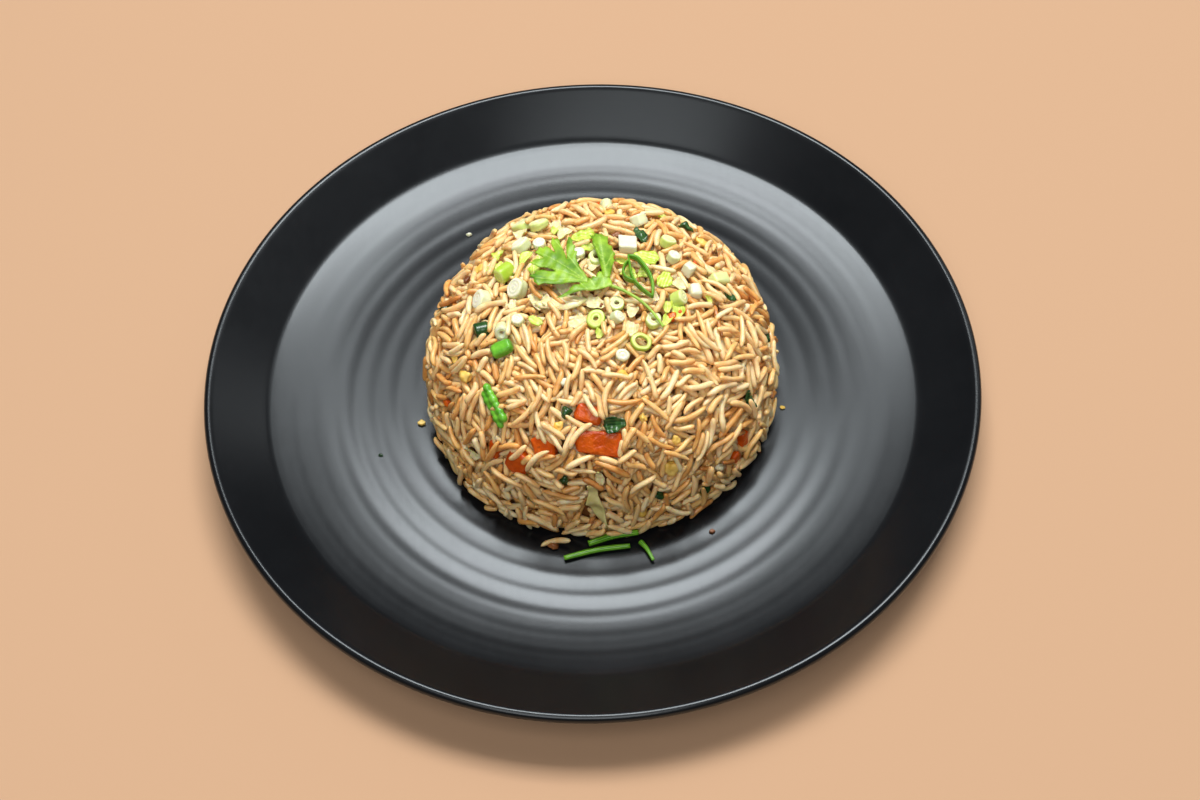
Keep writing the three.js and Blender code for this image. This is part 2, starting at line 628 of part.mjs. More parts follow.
function skinPoints() {
  const random = seededRandom(41);
  const net = [];
  const ridge = [];
  for (const place of spreadPlaces(random, BUMP_COUNT, [], SKIN_END)) {
    const spin = random() * Math.PI;
    const rise = 0.7 * (random() - 0.4);
    RIDGE_LIFTS.forEach((lift, index) => {
      const along = (index - 1) * BUMP_REACH;
      const spot = stepOver(place, along * Math.cos(spin), along * Math.sin(spin));
      if (spot.arc > SKIN_END) return;
      net.push(netPoint(spot, lift + rise));
      ridge.push(onDome(spot.bearing, spot.arc).position);
    });
  }
  for (const place of spreadPlaces(random, HOLLOW_COUNT, ridge, SKIN_END)) {
    net.push(netPoint(place, -HOLLOW_DEPTH * (0.7 + 0.5 * random())));
  }
  const baseRadius = onDome(0, DOME_ARC).radius - CORE_INSET;
  for (let index = 0; index < BASE_POINTS; index += 1) {
    const bearing = (360 * index) / BASE_POINTS;
    const spill = FRONT_SPILL * Math.max(0, -Math.sin(bearing * DEGREE)) ** 2;
    const uneven = 0.8 * Math.sin(5 * index);
    net.push(underPoint(bearing, baseRadius + spill + uneven, BALL_ANGLE_AT_BASE));
  }
  for (let index = 0; index < UNDER_POINTS; index += 1) {
    net.push(underPoint((360 * index) / UNDER_POINTS, UNDER_RADIUS, (BALL_ANGLE_AT_BASE + Math.PI) / 2));
  }
  net.push(underPoint(0, 0, Math.PI));
  return net;
}

function skinGeometry() {
  const net = skinPoints();
  const order = new Map(net.map(({ ball }, index) => [ball, index]));
  const hull = new ConvexHull().setFromPoints(net.map(({ ball }) => ball));
  const faces = [];
  for (const face of hull.faces) {
    let edge = face.edge;
    do {
      faces.push(order.get(edge.head().point));
      edge = edge.next;
    } while (edge !== face.edge);
  }
  const geometry = new THREE.BufferGeometry();
  const points = net.flatMap(({ position }) => position.toArray());
  geometry.setAttribute("position", new THREE.Float32BufferAttribute(points, 3));
  geometry.setIndex(faces);
  return geometry;
}

// One grain: a bent spindle of five sides along X, with its back up
function grainGeometry(length, width, bend) {
  const sides = 5;
  const points = [[-length / 2, 0, -bend]];
  for (const share of [-0.66, 0, 0.66]) {
    const thick = (width / 2) * (share === 0 ? 1 : 0.8);
    for (let side = 0; side < sides; side += 1) {
      const angle = (2 * Math.PI * side) / sides;
      const rise = thick * Math.sin(angle) - bend * share * share;
      points.push([(share * length) / 2, thick * Math.cos(angle), rise]);
    }
  }
  points.push([length / 2, 0, -bend]);
  const last = points.length - 1;
  const faces = [];
  for (let side = 0; side < sides; side += 1) {
    const next = (side + 1) % sides;
    faces.push(0, 1 + next, 1 + side);
    faces.push(last, last - sides + side, last - sides + next);
    for (const ring of [1, 1 + sides]) {
      faces.push(ring + side, ring + next, ring + sides + next);
      faces.push(ring + side, ring + sides + next, ring + sides + side);
    }
  }
  const geometry = new THREE.BufferGeometry();
  geometry.setAttribute("position", new THREE.Float32BufferAttribute(points.flat(), 3));
  geometry.setIndex(faces);
  return geometry;
}

// Grains that stand proud of the skin, skipped where they would meet a piece or the plate
function proudGrains(pockets) {
  const random = seededRandom(77);
  const grains = [];
  const point = new THREE.Vector3();
  for (const place of spreadPlaces(random, PROUD_COUNT, [], PROUD_END)) {
    const length = GRAIN_LENGTH * (0.85 + 0.25 * random());
    const geometry = grainGeometry(length, GRAIN_WIDTH, 0.4 + 0.8 * random());
    const pitch = 4 + 16 * random();
    const matrix = domeFrame({ ...place, lift: 0.2, spin: 360 * random() });
    matrix.multiply(new THREE.Matrix4().makeRotationY(pitch * DEGREE));
    geometry.applyMatrix4(matrix);
    let clear = true;
    for (let index = 0; index < geometry.attributes.position.count; index += 1) {
      point.fromBufferAttribute(geometry.attributes.position, index);
      if (plateClearance(point) < FIT_GAP) clear = false;
    }
    const grain = solidOf(geometry);
    if (pockets.some((pocket) => grain.intersect(pocket).volume() > 0)) clear = false;
    if (clear) grains.push(grain);
  }
  return grains;
}

// Bits of egg, greens and carrot too small for a piece of their own: fused to the heap
const SMALL_BITS = [
  { bearing: 206, arc: 56, size: 4.6 },
  { bearing: 282, arc: 34.5, size: 3.8 },
  { bearing: 292, arc: 71, size: 5 },
  { bearing: 155, arc: 47, size: 4.4 },
  { bearing: 254, arc: 47, size: 3.8 },
  { bearing: 22, arc: 37.6, size: 2.8 },
  { bearing: 89, arc: 52.4, size: 3 },
  { bearing: 168, arc: 63, size: 3.8 },
  { bearing: 357, arc: 69, size: 3.8 },
  { bearing: 120, arc: 54, size: 4 },
  { bearing: 281, arc: 88, size: 5 },
  { bearing: 304, arc: 91, size: 4 },
  { bearing: 287, arc: 82, size: 3.6 },
  { bearing: 256, arc: 72, size: 3.6 },
];

function smallBits(pockets) {
  const bits = SMALL_BITS.map(({ bearing, arc, size }) => {
    const lump = new THREE.IcosahedronGeometry(size / 2, 0);
    lump.scale(1.15, 0.9, 0.8);
    return solidOf(lump, domeFrame({ bearing, arc, lift: -0.4, spin: bearing }));
  });
  return bits.filter((bit) => !pockets.some((pocket) => bit.intersect(pocket).volume() > 0));
}

function makeHeap(pockets) {
  const grown = wasm.Manifold.union([solidOf(skinGeometry()), ...proudGrains(pockets), ...smallBits(pockets)]);
  const hollowed = grown.subtract(wasm.Manifold.union(pockets));
  const mesh = new THREE.Mesh(geometryOf(mainBody(hollowed)), finish("rice", 0.6));
  mesh.name = "rice_heap";
  return mesh;
}

// The whole serving, in a group that stands where the dome does
function makeServing() {
  const serving = new THREE.Group();
  serving.position.set(DOME_X, 0, FLOOR_Z);
  const toppings = makeToppings();
  settle(toppings);
  serving.add(makeHeap(toppings.map((topping) => topping.pocket)));
  for (const { name, colour, matrix, geometry } of toppings) {
    const mesh = new THREE.Mesh(geometry, finish(colour, 0.5));
    mesh.name = name;
    mesh.applyMatrix4(matrix);
    serving.add(mesh);
  }
  const loose = [
    ["coriander_sprig", "green", sprigGeometry()],
    ["onion_curl", "green", curlGeometry()],
    ...CHIVES.map((chive) => [chive.name, "green", chiveGeometry(chive)]),
  ];
  for (const [name, colour, geometry] of loose) {
    const mesh = new THREE.Mesh(geometry, finish(colour, 0.45));
    mesh.name = name;
    serving.add(mesh);
  }
  return serving;
}

const friedRicePlate = new THREE.Group();
friedRicePlate.add(makePlate(), makeServing());

export default friedRicePlate;
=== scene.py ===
# Looks of a plate of moulded fried rice: black ribbed plate, separate rice grains, cut
# vegetables and a herb garnish. Shapes are worked out in millimetres in the model's frame
# and become metres as they are made into meshes.

import math

import bmesh
import bpy
import numpy as np
from mathutils import Matrix, Vector
from mathutils.geometry import delaunay_2d_cdt


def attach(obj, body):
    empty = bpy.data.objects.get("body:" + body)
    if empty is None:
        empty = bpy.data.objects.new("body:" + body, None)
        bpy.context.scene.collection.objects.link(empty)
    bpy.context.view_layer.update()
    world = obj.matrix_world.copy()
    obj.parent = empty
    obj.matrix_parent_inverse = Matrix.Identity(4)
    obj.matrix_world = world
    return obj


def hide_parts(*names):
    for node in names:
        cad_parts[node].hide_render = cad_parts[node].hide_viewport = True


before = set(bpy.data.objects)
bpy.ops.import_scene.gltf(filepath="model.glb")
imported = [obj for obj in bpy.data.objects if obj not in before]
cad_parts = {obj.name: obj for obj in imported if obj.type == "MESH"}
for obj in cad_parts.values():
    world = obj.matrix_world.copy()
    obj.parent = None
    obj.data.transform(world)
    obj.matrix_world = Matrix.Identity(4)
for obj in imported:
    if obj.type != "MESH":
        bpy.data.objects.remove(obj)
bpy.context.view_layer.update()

MM = 0.001
TAU = 2 * math.pi

# Plate
PLATE_RADIUS = 140.0
PLATE_HEIGHT = 22.0
PLATE_WALL = 4.2
LIP_RADIUS = 1.8
RIM_SLOPE = math.radians(27)
FLOOR_Z = 7.0
FLOOR_RADIUS = 88.0
WELL_RADIUS = 119.0
WELL_RISE = 3.9
RIPPLE_START = 59.3
RIPPLE_PITCH = 8.0
RIPPLE_HEIGHT = 0.055
RIPPLE_FADE = 0.7
RIPPLE_FADE_START = 92.0
FOOT_INNER = 84.0
FOOT_OUTER = 90.0

# Rice dome, a superellipse turned about its own axis
DOME_X = 3.6
DOME_RADIUS = 62.0
DOME_HEIGHT = 58.0
DOME_POWER = 2.9
TUCK_IN = 2.0
TUCK_HEIGHT = 12.0

# The base runs out over the plate at the front, and most at one bearing on the left of it
SPILL_FRONT = 3.6
SPILL_LEFT = 2.6
SPILL_BEARING = 226
SPILL_SPAN = 18
SPILL_HEIGHT = 30

# Camera, from the ellipse of the plate's edge in the photograph
CAMERA_DISTANCE = 700.0
CAMERA_ELEVATION = math.radians(55.454)
CAMERA_ROLL = math.radians(-2.162)
CAMERA_AIM = (2.648, -0.561)
FOCAL_PIXELS = 1887.3
IMAGE_WIDTH = 1200
SENSOR_MM = 36.0


# Meshes from arrays

def new_object(name, data):
    thing = bpy.data.objects.new(name, data)
    bpy.context.scene.collection.objects.link(thing)
    return thing


def new_piece(name, points, faces, attributes=None):
    """A mesh object from points in millimetres, with named values for each point."""
    mesh = bpy.data.meshes.new(name)
    mesh.from_pydata((np.asarray(points, float) * MM).tolist(), [], faces)
    mesh.validate()
    for key, values in (attributes or {}).items():
        layer = mesh.attributes.new(key, "FLOAT", "POINT")
        layer.data.foreach_set("value", np.asarray(values, np.float32))
    mesh.shade_smooth()
    return new_object(name, mesh)


def finish_piece(piece, material, node):
    """Gives a piece its material and its body, and hides the part of the solid model that it stands for."""
    piece.data.materials.append(material)
    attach(piece, "root")
    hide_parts(node)


def joined(parts):
    """Joins (points, faces, attributes) parts into one such triple."""
    points, faces, values = [], [], {}
    start = 0
    for part_points, part_faces, part_values in parts:
        points.append(part_points)
        faces.extend([tuple(corner + start for corner in face) for face in part_faces])
        for key, value in part_values.items():
            values.setdefault(key, []).append(value)
        start += len(part_points)
    values = {key: np.concatenate(value) for key, value in values.items()}
    return np.concatenate(points), faces, values


def grid_faces(rows, columns, start=0):
    """Faces of a grid of points in rows, closed round each row."""
    faces = []
    for row in range(rows - 1):
        for column in range(columns):
            after = (column + 1) % columns
            low = start + row * columns
            faces.append((low + column, low + after, low + columns + after, low + columns + column))
    return faces


def closed_faces(rows, columns, hollow=False):
    """Outward faces of such a grid with its two ends capped, or joined to each other where
    the shape is hollow."""
    faces = [face[::-1] for face in grid_faces(rows, columns)]
    last = (rows - 1) * columns
    if not hollow:
        return faces + [tuple(range(columns)), tuple(range(last + columns - 1, last - 1, -1))]
    for side in range(columns):
        after = (side + 1) % columns
        faces.append((side, after, last + after, last + side))
    return faces


def ball_mesh(subdivisions):
    """Points and faces of a unit ball of triangles."""
    made = bmesh.new()
    bmesh.ops.create_icosphere(made, subdivisions=subdivisions, radius=1)
    points = np.array([vert.co[:] for vert in made.verts])
    faces = [tuple(vert.index for vert in face.verts) for face in made.faces]
    made.free()
    return points, faces


# Plate surface and dome surface

def well_height(radius):
    run = np.maximum(0, np.asarray(radius, float) - FLOOR_RADIUS) / (WELL_RADIUS - FLOOR_RADIUS)
    return FLOOR_Z + WELL_RISE * run * run


def plate_top(radius):
    radius = np.asarray(radius, float)
    phase = TAU * (radius - RIPPLE_START) / RIPPLE_PITCH
    fade = np.clip((radius - RIPPLE_START) / 4 + 0.5, 0, 1)
    fade = fade * (1 - RIPPLE_FADE * np.clip((radius - RIPPLE_FADE_START) / 8, 0, 1))
    return well_height(radius) - RIPPLE_HEIGHT * np.cos(phase) * fade


def dome_table():
    """Arc, radius and height along the dome's outline, from the crown to the base."""
    turn = np.linspace(0, math.pi / 2, 4001)
    height = DOME_HEIGHT * np.cos(turn) ** (2 / DOME_POWER)
    low = np.maximum(0, 1 - height / TUCK_HEIGHT)
    radius = DOME_RADIUS * np.sin(turn) ** (2 / DOME_POWER) - TUCK_IN * low * low
    arc = np.concatenate([[0], np.cumsum(np.hypot(np.diff(radius), np.diff(height)))])
    even = np.linspace(0, arc[-1], 1200)
    return even, np.interp(even, arc, radius), np.interp(even, arc, height)


ARCS, RADII, HEIGHTS = dome_table()
DOME_ARC = float(ARCS[-1])
SLOPE_R = np.gradient(RADII, ARCS)
SLOPE_Z = np.gradient(HEIGHTS, ARCS)


def dome_line(arc):
    """Radius, height and both slopes of the dome's outline at an arc."""
    return [np.interp(arc, ARCS, line) for line in (RADII, HEIGHTS, SLOPE_R, SLOPE_Z)]


def dome_frame(bearing, arc, lift=0.0, spin=0.0, lean=0.0):
    """Origin and axes (as columns) of a place on the dome, in degrees and millimetres.
    Z leaves the surface and Y runs uphill, then the frame spins about Z and leans about X."""
    radius, height, out, down = dome_line(arc)
    size = math.hypot(out, down)
    out, down = out / size, down / size
    cos, sin = math.cos(math.radians(bearing)), math.sin(math.radians(bearing))
    normal = np.array([-down * cos, -down * sin, out])
    uphill = np.array([-out * cos, -out * sin, -down])
    axes = np.stack([np.cross(uphill, normal), uphill, normal], axis=1)
    origin = np.array([radius * cos + DOME_X, radius * sin, height + FLOOR_Z]) + normal * lift
    turn = Matrix.Rotation(math.radians(spin), 3, "Z") @ Matrix.Rotation(math.radians(lean), 3, "X")
    return origin, axes @ np.array(turn)


def dome_height(x, y):
    """Height of the dome's surface over its base at a place in plan about its axis."""
    share = np.minimum(1, np.hypot(x, y) / DOME_RADIUS)
    return DOME_HEIGHT * (1 - share ** DOME_POWER) ** (1 / DOME_POWER)


def spill(x, y, z):
    """How far the heap's base runs out at a place, mostly to the front and front left."""
    bearing = np.arctan2(y, x - DOME_X)
    front = np.maximum(0, -np.sin(bearing)) ** 2
    left = np.exp(-((np.degrees(bearing) % 360 - SPILL_BEARING) / SPILL_SPAN) ** 2)
    low = np.clip(1 - (z - FLOOR_Z) / SPILL_HEIGHT, 0, 1) ** 1.5
    return (SPILL_FRONT * front + SPILL_LEFT * left) * low


def spilled(points):
    """Points in the model's frame, moved outward by the spill."""
    out = points[:, :2] - (DOME_X, 0)
    out = out / np.maximum(np.linalg.norm(out, axis=1, keepdims=True), 1e-6)
    move = spill(points[:, 0], points[:, 1], points[:, 2])
    return points + np.column_stack([out * move[:, None], np.zeros(len(points))])


def placed(points, origin, axes):
    return np.asarray(points, float) @ axes.T + origin


# Node helpers for materials

class Nodes:
    """A material's node tree with short calls for the nodes that are used often."""

    def __init__(self, name):
        self.material = bpy.data.materials.new(name)
        self.material.use_nodes = True
        self.tree = self.material.node_tree
        self.tree.nodes.clear()
        output = self.add("OutputMaterial")
        self.shader = self.add("BsdfPrincipled")
        self.put(output.inputs["Surface"], self.shader.outputs[0])

    def add(self, kind, **values):
        node = self.tree.nodes.new("ShaderNode" + kind)
        for key, value in values.items():
            self.put(node.inputs[key], value)
        return node

    def put(self, socket, value):
        if isinstance(value, bpy.types.NodeSocket):
            self.tree.links.new(value, socket)
        else:
            socket.default_value = value

    def set(self, **values):
        for key, value in values.items():
            self.put(self.shader.inputs[key.replace("_", " ")], value)

    def soft(self, weight, radius, scale=0.001):
        """How much light sinks in, and how far for each colour."""
        self.set(Subsurface_Weight=weight, Subsurface_Radius=radius, Subsurface_Scale=scale)

    def value(self, name):
        node = self.add("Attribute")
        node.attribute_name = name
        return node.outputs["Fac"]

    def place(self):
        return self.add("TexCoord").outputs["Object"]

    def stretched(self, scale):
        return self.add("Mapping", Vector=self.place(), Scale=scale).outputs[0]

    def noise(self, scale, detail=3.0, rough=0.5, vector=None):
        vector = vector or self.place()
        node = self.add("TexNoise", Vector=vector, Scale=scale, Detail=detail, Roughness=rough)
        return node.outputs["Fac"]

    def math(self, operation, first, second=0.0, third=0.0):
        node = self.add("Math")
        node.operation = operation
        for socket, value in zip(node.inputs, (first, second, third)):
            self.put(socket, value)
        return node.outputs[0]

    def ramp(self, factor, stops):
        node = self.add("ValToRGB", Fac=factor)
        elements = node.color_ramp.elements
        while len(elements) < len(stops):
            elements.new(0.5)
        for element, (position, colour) in zip(elements, stops):
            element.position = position
            element.color = (*colour, 1)
        return node.outputs["Color"]

    def mask(self, factor, start, end, first, last):
        """A grey that runs from first to last between two values of the factor."""
        return self.ramp(factor, [(start, (first,) * 3), (end, (last,) * 3)])

    def mix(self, factor, first, second):
        node = self.add("Mix")
        node.data_type = "RGBA"
        self.put(node.inputs["Factor"], factor)
        for socket, value in ((node.inputs[6], first), (node.inputs[7], second)):
            self.put(socket, (*value, 1) if isinstance(value, tuple) else value)
        return node.outputs[2]

    def bump(self, height, distance, strength=1.0):
        node = self.add("Bump", Strength=strength, Distance=distance, Height=height)
        self.put(self.shader.inputs["Normal"], node.outputs[0])


def srgb(red, green, blue):
    """A colour given in the 0 to 255 values of a picture, as the linear values a shader takes."""
    return tuple(
        part / 12.92 if part <= 0.04045 else ((part + 0.055) / 1.055) ** 2.4
        for part in (red / 255, green / 255, blue / 255)
    )


def mottled(name, dark, light, gloss, clear=0.1, scale=320, rough=0.6, specular=0.5,
            glow=(0.5, 1.0, 0.3), bump=(900, 0.0002, 0.5), veins=None):
    """A skin that is cloudy between two colours, with veins of a given strength and colour."""
    made = Nodes(name)
    colour = made.ramp(made.noise(scale, 4, rough), [(0.3, srgb(*dark)), (0.7, srgb(*light))])
    if veins:
        line = made.mask(made.value("vein"), 0.0, 0.35, veins[0], 0)
        colour = made.mix(line, colour, srgb(*veins[1]))
    made.set(Base_Color=colour, Roughness=gloss, Specular_IOR_Level=specular)
    made.soft(clear, glow)
    made.bump(made.noise(bump[0], 3), bump[1], bump[2])
    return made.material


def leafy(name, dark, light, vein, gloss, clear, scale=300, strength=0.75, bump=(800, 0.00015, 0.5)):
    return mottled(name, dark, light, gloss, clear, scale, 0.6, 0.4, (0.5, 1.0, 0.2), bump, (strength, vein))


# Plate

PLATE_SIDES = 320
# The lip stays this much inside the solid lip, so that the model keeps to its box
INSIDE = 0.04


def lip_points(steps=14):
    centre_r, centre_z = PLATE_RADIUS - LIP_RADIUS - INSIDE, PLATE_HEIGHT - LIP_RADIUS
    angle = np.linspace(math.pi / 2 + RIM_SLOPE, RIM_SLOPE - math.pi / 2, steps)
    return centre_r + LIP_RADIUS * np.cos(angle), centre_z + LIP_RADIUS * np.sin(angle)


def make_plate():
    well = np.concatenate([[0.01, 20, 40], np.arange(RIPPLE_START - 6, WELL_RADIUS - 0.6, 0.8)])
    lip_r, lip_z = lip_points()
    edge = float(plate_top(WELL_RADIUS - 0.5))
    rim = np.linspace(WELL_RADIUS + 0.6, lip_r[0], 16)
    rim_z = edge + (lip_z[0] - edge) * (rim - WELL_RADIUS + 0.5) / (lip_r[0] - WELL_RADIUS + 0.5)
    under = np.array([WELL_RADIUS, 112.0, 104.0, 97.0, FOOT_OUTER + 1.6, FOOT_OUTER + 1])
    under_z = well_height(under) - PLATE_WALL
    foot_r = [FOOT_OUTER + 0.9, FOOT_OUTER + 0.5, FOOT_OUTER]
    foot_r += [FOOT_INNER, FOOT_INNER - 0.5, FOOT_INNER - 0.9]
    foot_z = [1.2, 0.35, 0.0, 0.0, 0.35, 1.2]
    inside = np.array([FOOT_INNER - 1, FOOT_INNER - 1.6, 70.0, 40.0, 0.01])
    inside_z = well_height(inside) - PLATE_WALL
    radius = np.concatenate([well, rim, lip_r[1:], under, foot_r, inside])
    height = np.concatenate([plate_top(well), rim_z, lip_z[1:], under_z, foot_z, inside_z])
    ribbed = np.zeros(len(radius))
    ribbed[: len(well)] = np.clip((well - RIPPLE_START) / 8, 0, 1)
    angle = np.linspace(0, TAU, PLATE_SIDES, endpoint=False)
    # The ripples wander a little and differ in strength, as if thrown by hand
    wander = 0.05 * np.sin(angle * 2 + 0.7)[None, :] * np.sin(radius / 5.3)[:, None]
    wander += 0.04 * np.sin(angle * 3 + 2.1)[None, :] * np.cos(radius / 3.1)[:, None]
    double = 0.006 * np.sin(radius * TAU / 3.9)[:, None]
    double = double * (1 + 0.5 * np.sin(angle * 2 - 1))[None, :]
    z = height[:, None] + ribbed[:, None] * (wander + double)
    x = radius[:, None] * np.cos(angle)
    y = radius[:, None] * np.sin(angle)
    points = np.stack([x, y, z], axis=-1).reshape(-1, 3)
    return new_piece("black_plate", points, closed_faces(len(radius), PLATE_SIDES))


def plate_material():
    made = Nodes("black_melamine")
    grain = made.noise(700, 2, 0.5)
    cloud = made.noise(28, 4, 0.6)
    scuff = made.noise(420, 3, 0.75, made.stretched((1.0, 0.25, 1.0)))
    colour = made.ramp(cloud, [(0.3, srgb(14, 15, 17)), (0.75, srgb(20, 21, 23))])
    rough = made.math("MULTIPLY_ADD", cloud, 0.06, 0.17)
    rough = made.math("MULTIPLY_ADD", scuff, 0.05, rough)
    made.set(Base_Color=colour, Roughness=rough)
    made.set(Specular_IOR_Level=0.36, Specular_Tint=(0.90, 0.97, 1.0, 1.0))
    made.bump(grain, 0.00002, 0.3)
    return made.material


# Grains of rice

GRAIN_RINGS = 9
GRAIN_SIDES = 7
LENGTH_MEAN = 10.4
LENGTH_SPREAD = 2.2
LENGTHS = (5.0, 13.5)
WIDTHS = (1.95, 2.6)
BENDS = (0.1, 1.5)
BEAD_SHARE = 0.46
# Share of the tried ways that follow the flow of the grains around
FOLLOW = 0.4
BEADS = 5
CORE_LIFT = -4.0
TRIES = 18
SQUEEZE = 0.42


def grain_shapes(length, width, bend, sway, blunt):
    """Points of many grains at once, each along X about its own origin, shape (n, points, 3).
    A grain is bent in its own XZ plane, a little swayed in XY, and blunt at both ends."""
    count = len(length)
    share = -np.cos(np.linspace(0.12, math.pi - 0.12, GRAIN_RINGS))
    shape = (1 - np.abs(share[None, :]) ** blunt[:, None]) ** 0.5
    shape *= 1 - 0.13 * share[None, :] * np.cos(blunt[:, None] * 7)
    shape *= 1 + 0.06 * np.sin(share[None, :] * 4.1 + blunt[:, None] * 9) * (1 - share[None, :] ** 2)
    angle = np.arange(GRAIN_SIDES) * TAU / GRAIN_SIDES
    thick = width[:, None, None] * 0.45
    side = shape[:, :, None] * (width[:, None, None] / 2) * np.cos(angle)
    rise = shape[:, :, None] * thick * np.sin(angle)
    slope = -4 * bend[:, None, None] * share[None, :, None] / length[:, None, None]
    x = share[None, :, None] * length[:, None, None] / 2 - slope * rise
    y = side + (sway[:, None] * (share ** 3 - share)[None, :])[:, :, None]
    z = rise - (bend[:, None] * share[None, :] ** 2)[:, :, None]
    body = np.stack([x, y, z], axis=-1).reshape(count, -1, 3)
    first, last = (np.stack([end * length / 2, 0 * bend, -bend], axis=-1)[:, None, :] for end in (-1, 1))
    return np.concatenate([first, body, last], axis=1)


def grain_faces():
    """Triangles at the two ends and quads between, as two arrays."""
    side = np.arange(GRAIN_SIDES)
    after = (side + 1) % GRAIN_SIDES
    last = 1 + GRAIN_RINGS * GRAIN_SIDES
    low = last - GRAIN_SIDES
    ends = np.concatenate([
        np.column_stack([0 * side, 1 + after, 1 + side]),
        np.column_stack([low + side, low + after, 0 * side + last]),
    ])
    return ends, np.array(grid_faces(GRAIN_RINGS, GRAIN_SIDES, 1))


def flow(place):
    """The direction that grains near a place tend to share, as an angle in their own frame."""
    x, y, z = place
    return 2.4 * math.sin(x * 0.10 + 0.8 * math.sin(y * 0.07)) + 2.0 * math.cos(y * 0.12 + z * 0.09 + 1)


class Pile:
    """Lays grains on the dome one by one. Each comes to rest on the core and on the grains,
    taken as short rows of beads, that are already there."""

    def __init__(self, seed):
        self.random = np.random.default_rng(seed)
        self.beads = np.zeros((60000, 3))
        self.sizes = np.zeros(60000)
        self.count = 0
        self.laid = []

    def block(self, centres, size):
        """Marks space that is taken by something else."""
        centres = np.atleast_2d(centres)
        self.beads[self.count:self.count + len(centres)] = centres
        self.sizes[self.count:self.count + len(centres)] = size
        self.count += len(centres)

    def ways(self, centre, length, bend, messy):
        """Directions of a grain, and of its arch, for a number of tries."""
        rng = self.random
        follow = rng.uniform(size=TRIES) < FOLLOW
        shared = flow(centre) + rng.normal(0, 0.55, TRIES)
        spin = np.where(follow, shared, rng.uniform(0, TAU, TRIES))
        pitch = rng.normal(0, messy, TRIES)
        roll = rng.choice((-1, 1), TRIES) * rng.uniform(0.7, 2.0, TRIES)
        level = np.cos(pitch)
        along = np.column_stack([np.cos(spin) * level, np.sin(spin) * level, np.sin(pitch)])
        side = np.column_stack([-np.sin(spin), np.cos(spin), 0 * spin])
        arch = np.cross(along, side) * np.cos(roll)[:, None] + side * np.sin(roll)[:, None]
        return along, arch

    def lay(self, bearing, arc, limit, messy=0.15, on_plate=False, lowest=True):
        """Tries several ways to lay one grain near a place, and keeps the one that lies lowest."""
        rng = self.random
        length = float(np.clip(rng.normal(LENGTH_MEAN, LENGTH_SPREAD), *LENGTHS))
        width = rng.uniform(*WIDTHS)
        bend = rng.uniform(*BENDS) * (length / 11) ** 2
        radius = width * BEAD_SHARE
        centre, axes = dome_frame(bearing, min(arc, DOME_ARC - 0.5))
        if on_plate:
            turn = math.radians(bearing)
            axes = np.eye(3)
            centre = np.array([arc * math.cos(turn) + DOME_X, arc * math.sin(turn), FLOOR_Z])
        others = (self.beads[:self.count] - centre) @ axes
        mask = np.hypot(others[:, 0], others[:, 1]) < length / 2 + 5
        mask &= np.abs(others[:, 2]) < 12
        others, sizes = others[mask], self.sizes[:self.count][mask]
        along, arch = self.ways(centre, length, bend, messy)
        shift = np.column_stack([rng.normal(0, 1.5, (TRIES, 2)), np.zeros(TRIES)])
        share = np.linspace(-0.8, 0.8, BEADS)
        rows = shift[:, None, :] + along[:, None, :] * (share * length / 2)[None, :, None]
        rows = rows - arch[:, None, :] * (bend * share ** 2)[None, :, None]
        if on_plate:
            world = rows + centre
            ground = plate_top(np.hypot(world[..., 0], world[..., 1])) - centre[2]
            lift = np.max(ground + radius - rows[..., 2], axis=1)
        else:
            lift = np.max(CORE_LIFT + radius - rows[..., 2], axis=1)
        if len(others):
            gap = rows[:, :, None, :] - others[None, None, :, :]
            across = gap[..., 0] ** 2 + gap[..., 1] ** 2
            reach = (radius + sizes - SQUEEZE) ** 2 * (sizes > 0)
            need = np.where(across < reach, np.sqrt(np.maximum(reach - across, 0)) - gap[..., 2], -99)
            lift = np.maximum(lift, need.max(axis=(1, 2)))
        rows[..., 2] += lift[:, None]
        top = rows[..., 2].max(axis=1) + radius
        world = rows @ axes.T + centre
        clear = world[..., 2] - radius - plate_top(np.hypot(world[..., 0], world[..., 1]))
        good = (top < limit) & (clear.min(axis=1) > -0.05)
        if not good.any():
            return False
        score = np.where(good, top if lowest else rng.uniform(size=TRIES), 99)
        pick = int(np.argmin(score))
        self.block(world[pick], radius)
        turned = np.column_stack([along[pick], np.cross(arch[pick], along[pick]), arch[pick]])
        origin = axes @ (shift[pick] + np.array([0, 0, lift[pick]])) + centre
        self.laid.append((origin, axes @ turned, length, width, bend))
        return True

    def bed(self, count):
        """Half-sunk grains on the core, close together, that show in the gaps between the others."""
        rng = self.random
        while len(self.laid) < count:
            arc, bearing = rng.uniform(0, DOME_ARC), rng.uniform(0, 360)
            if rng.uniform(0, DOME_RADIUS) > np.interp(arc, ARCS, RADII):
                continue
            lift = CORE_LIFT + rng.uniform(0.5, 1.5)
            spin, lean = rng.uniform(0, 360), rng.uniform(-10, 10)
            origin, axes = dome_frame(bearing, arc, lift, spin, lean)
            length, width = rng.uniform(7.5, 12), rng.uniform(2.2, 2.8)
            if origin[2] - abs(axes[2, 0]) * length / 2 > FLOOR_Z + width / 2 + 0.4:
                self.laid.append((origin, axes, length, width, 0.8))

    def spread(self, count, limit, messy, lowest=True):
        """Tries to lay grains at a number of places spread evenly by area."""
        rng = self.random
        tried = 0
        while tried < count:
            arc = rng.uniform(0, 1) * DOME_ARC
            if rng.uniform(0, DOME_RADIUS) > np.interp(arc, ARCS, RADII):
                continue
            tried += 1
            self.lay(rng.uniform(0, 360), arc, limit, messy, False, lowest)


# Cut pieces on the dome, as in the solid model. Bearings and turns are in degrees, arcs from
# the crown in millimetres, and the lift is that of the piece's middle over the surface.

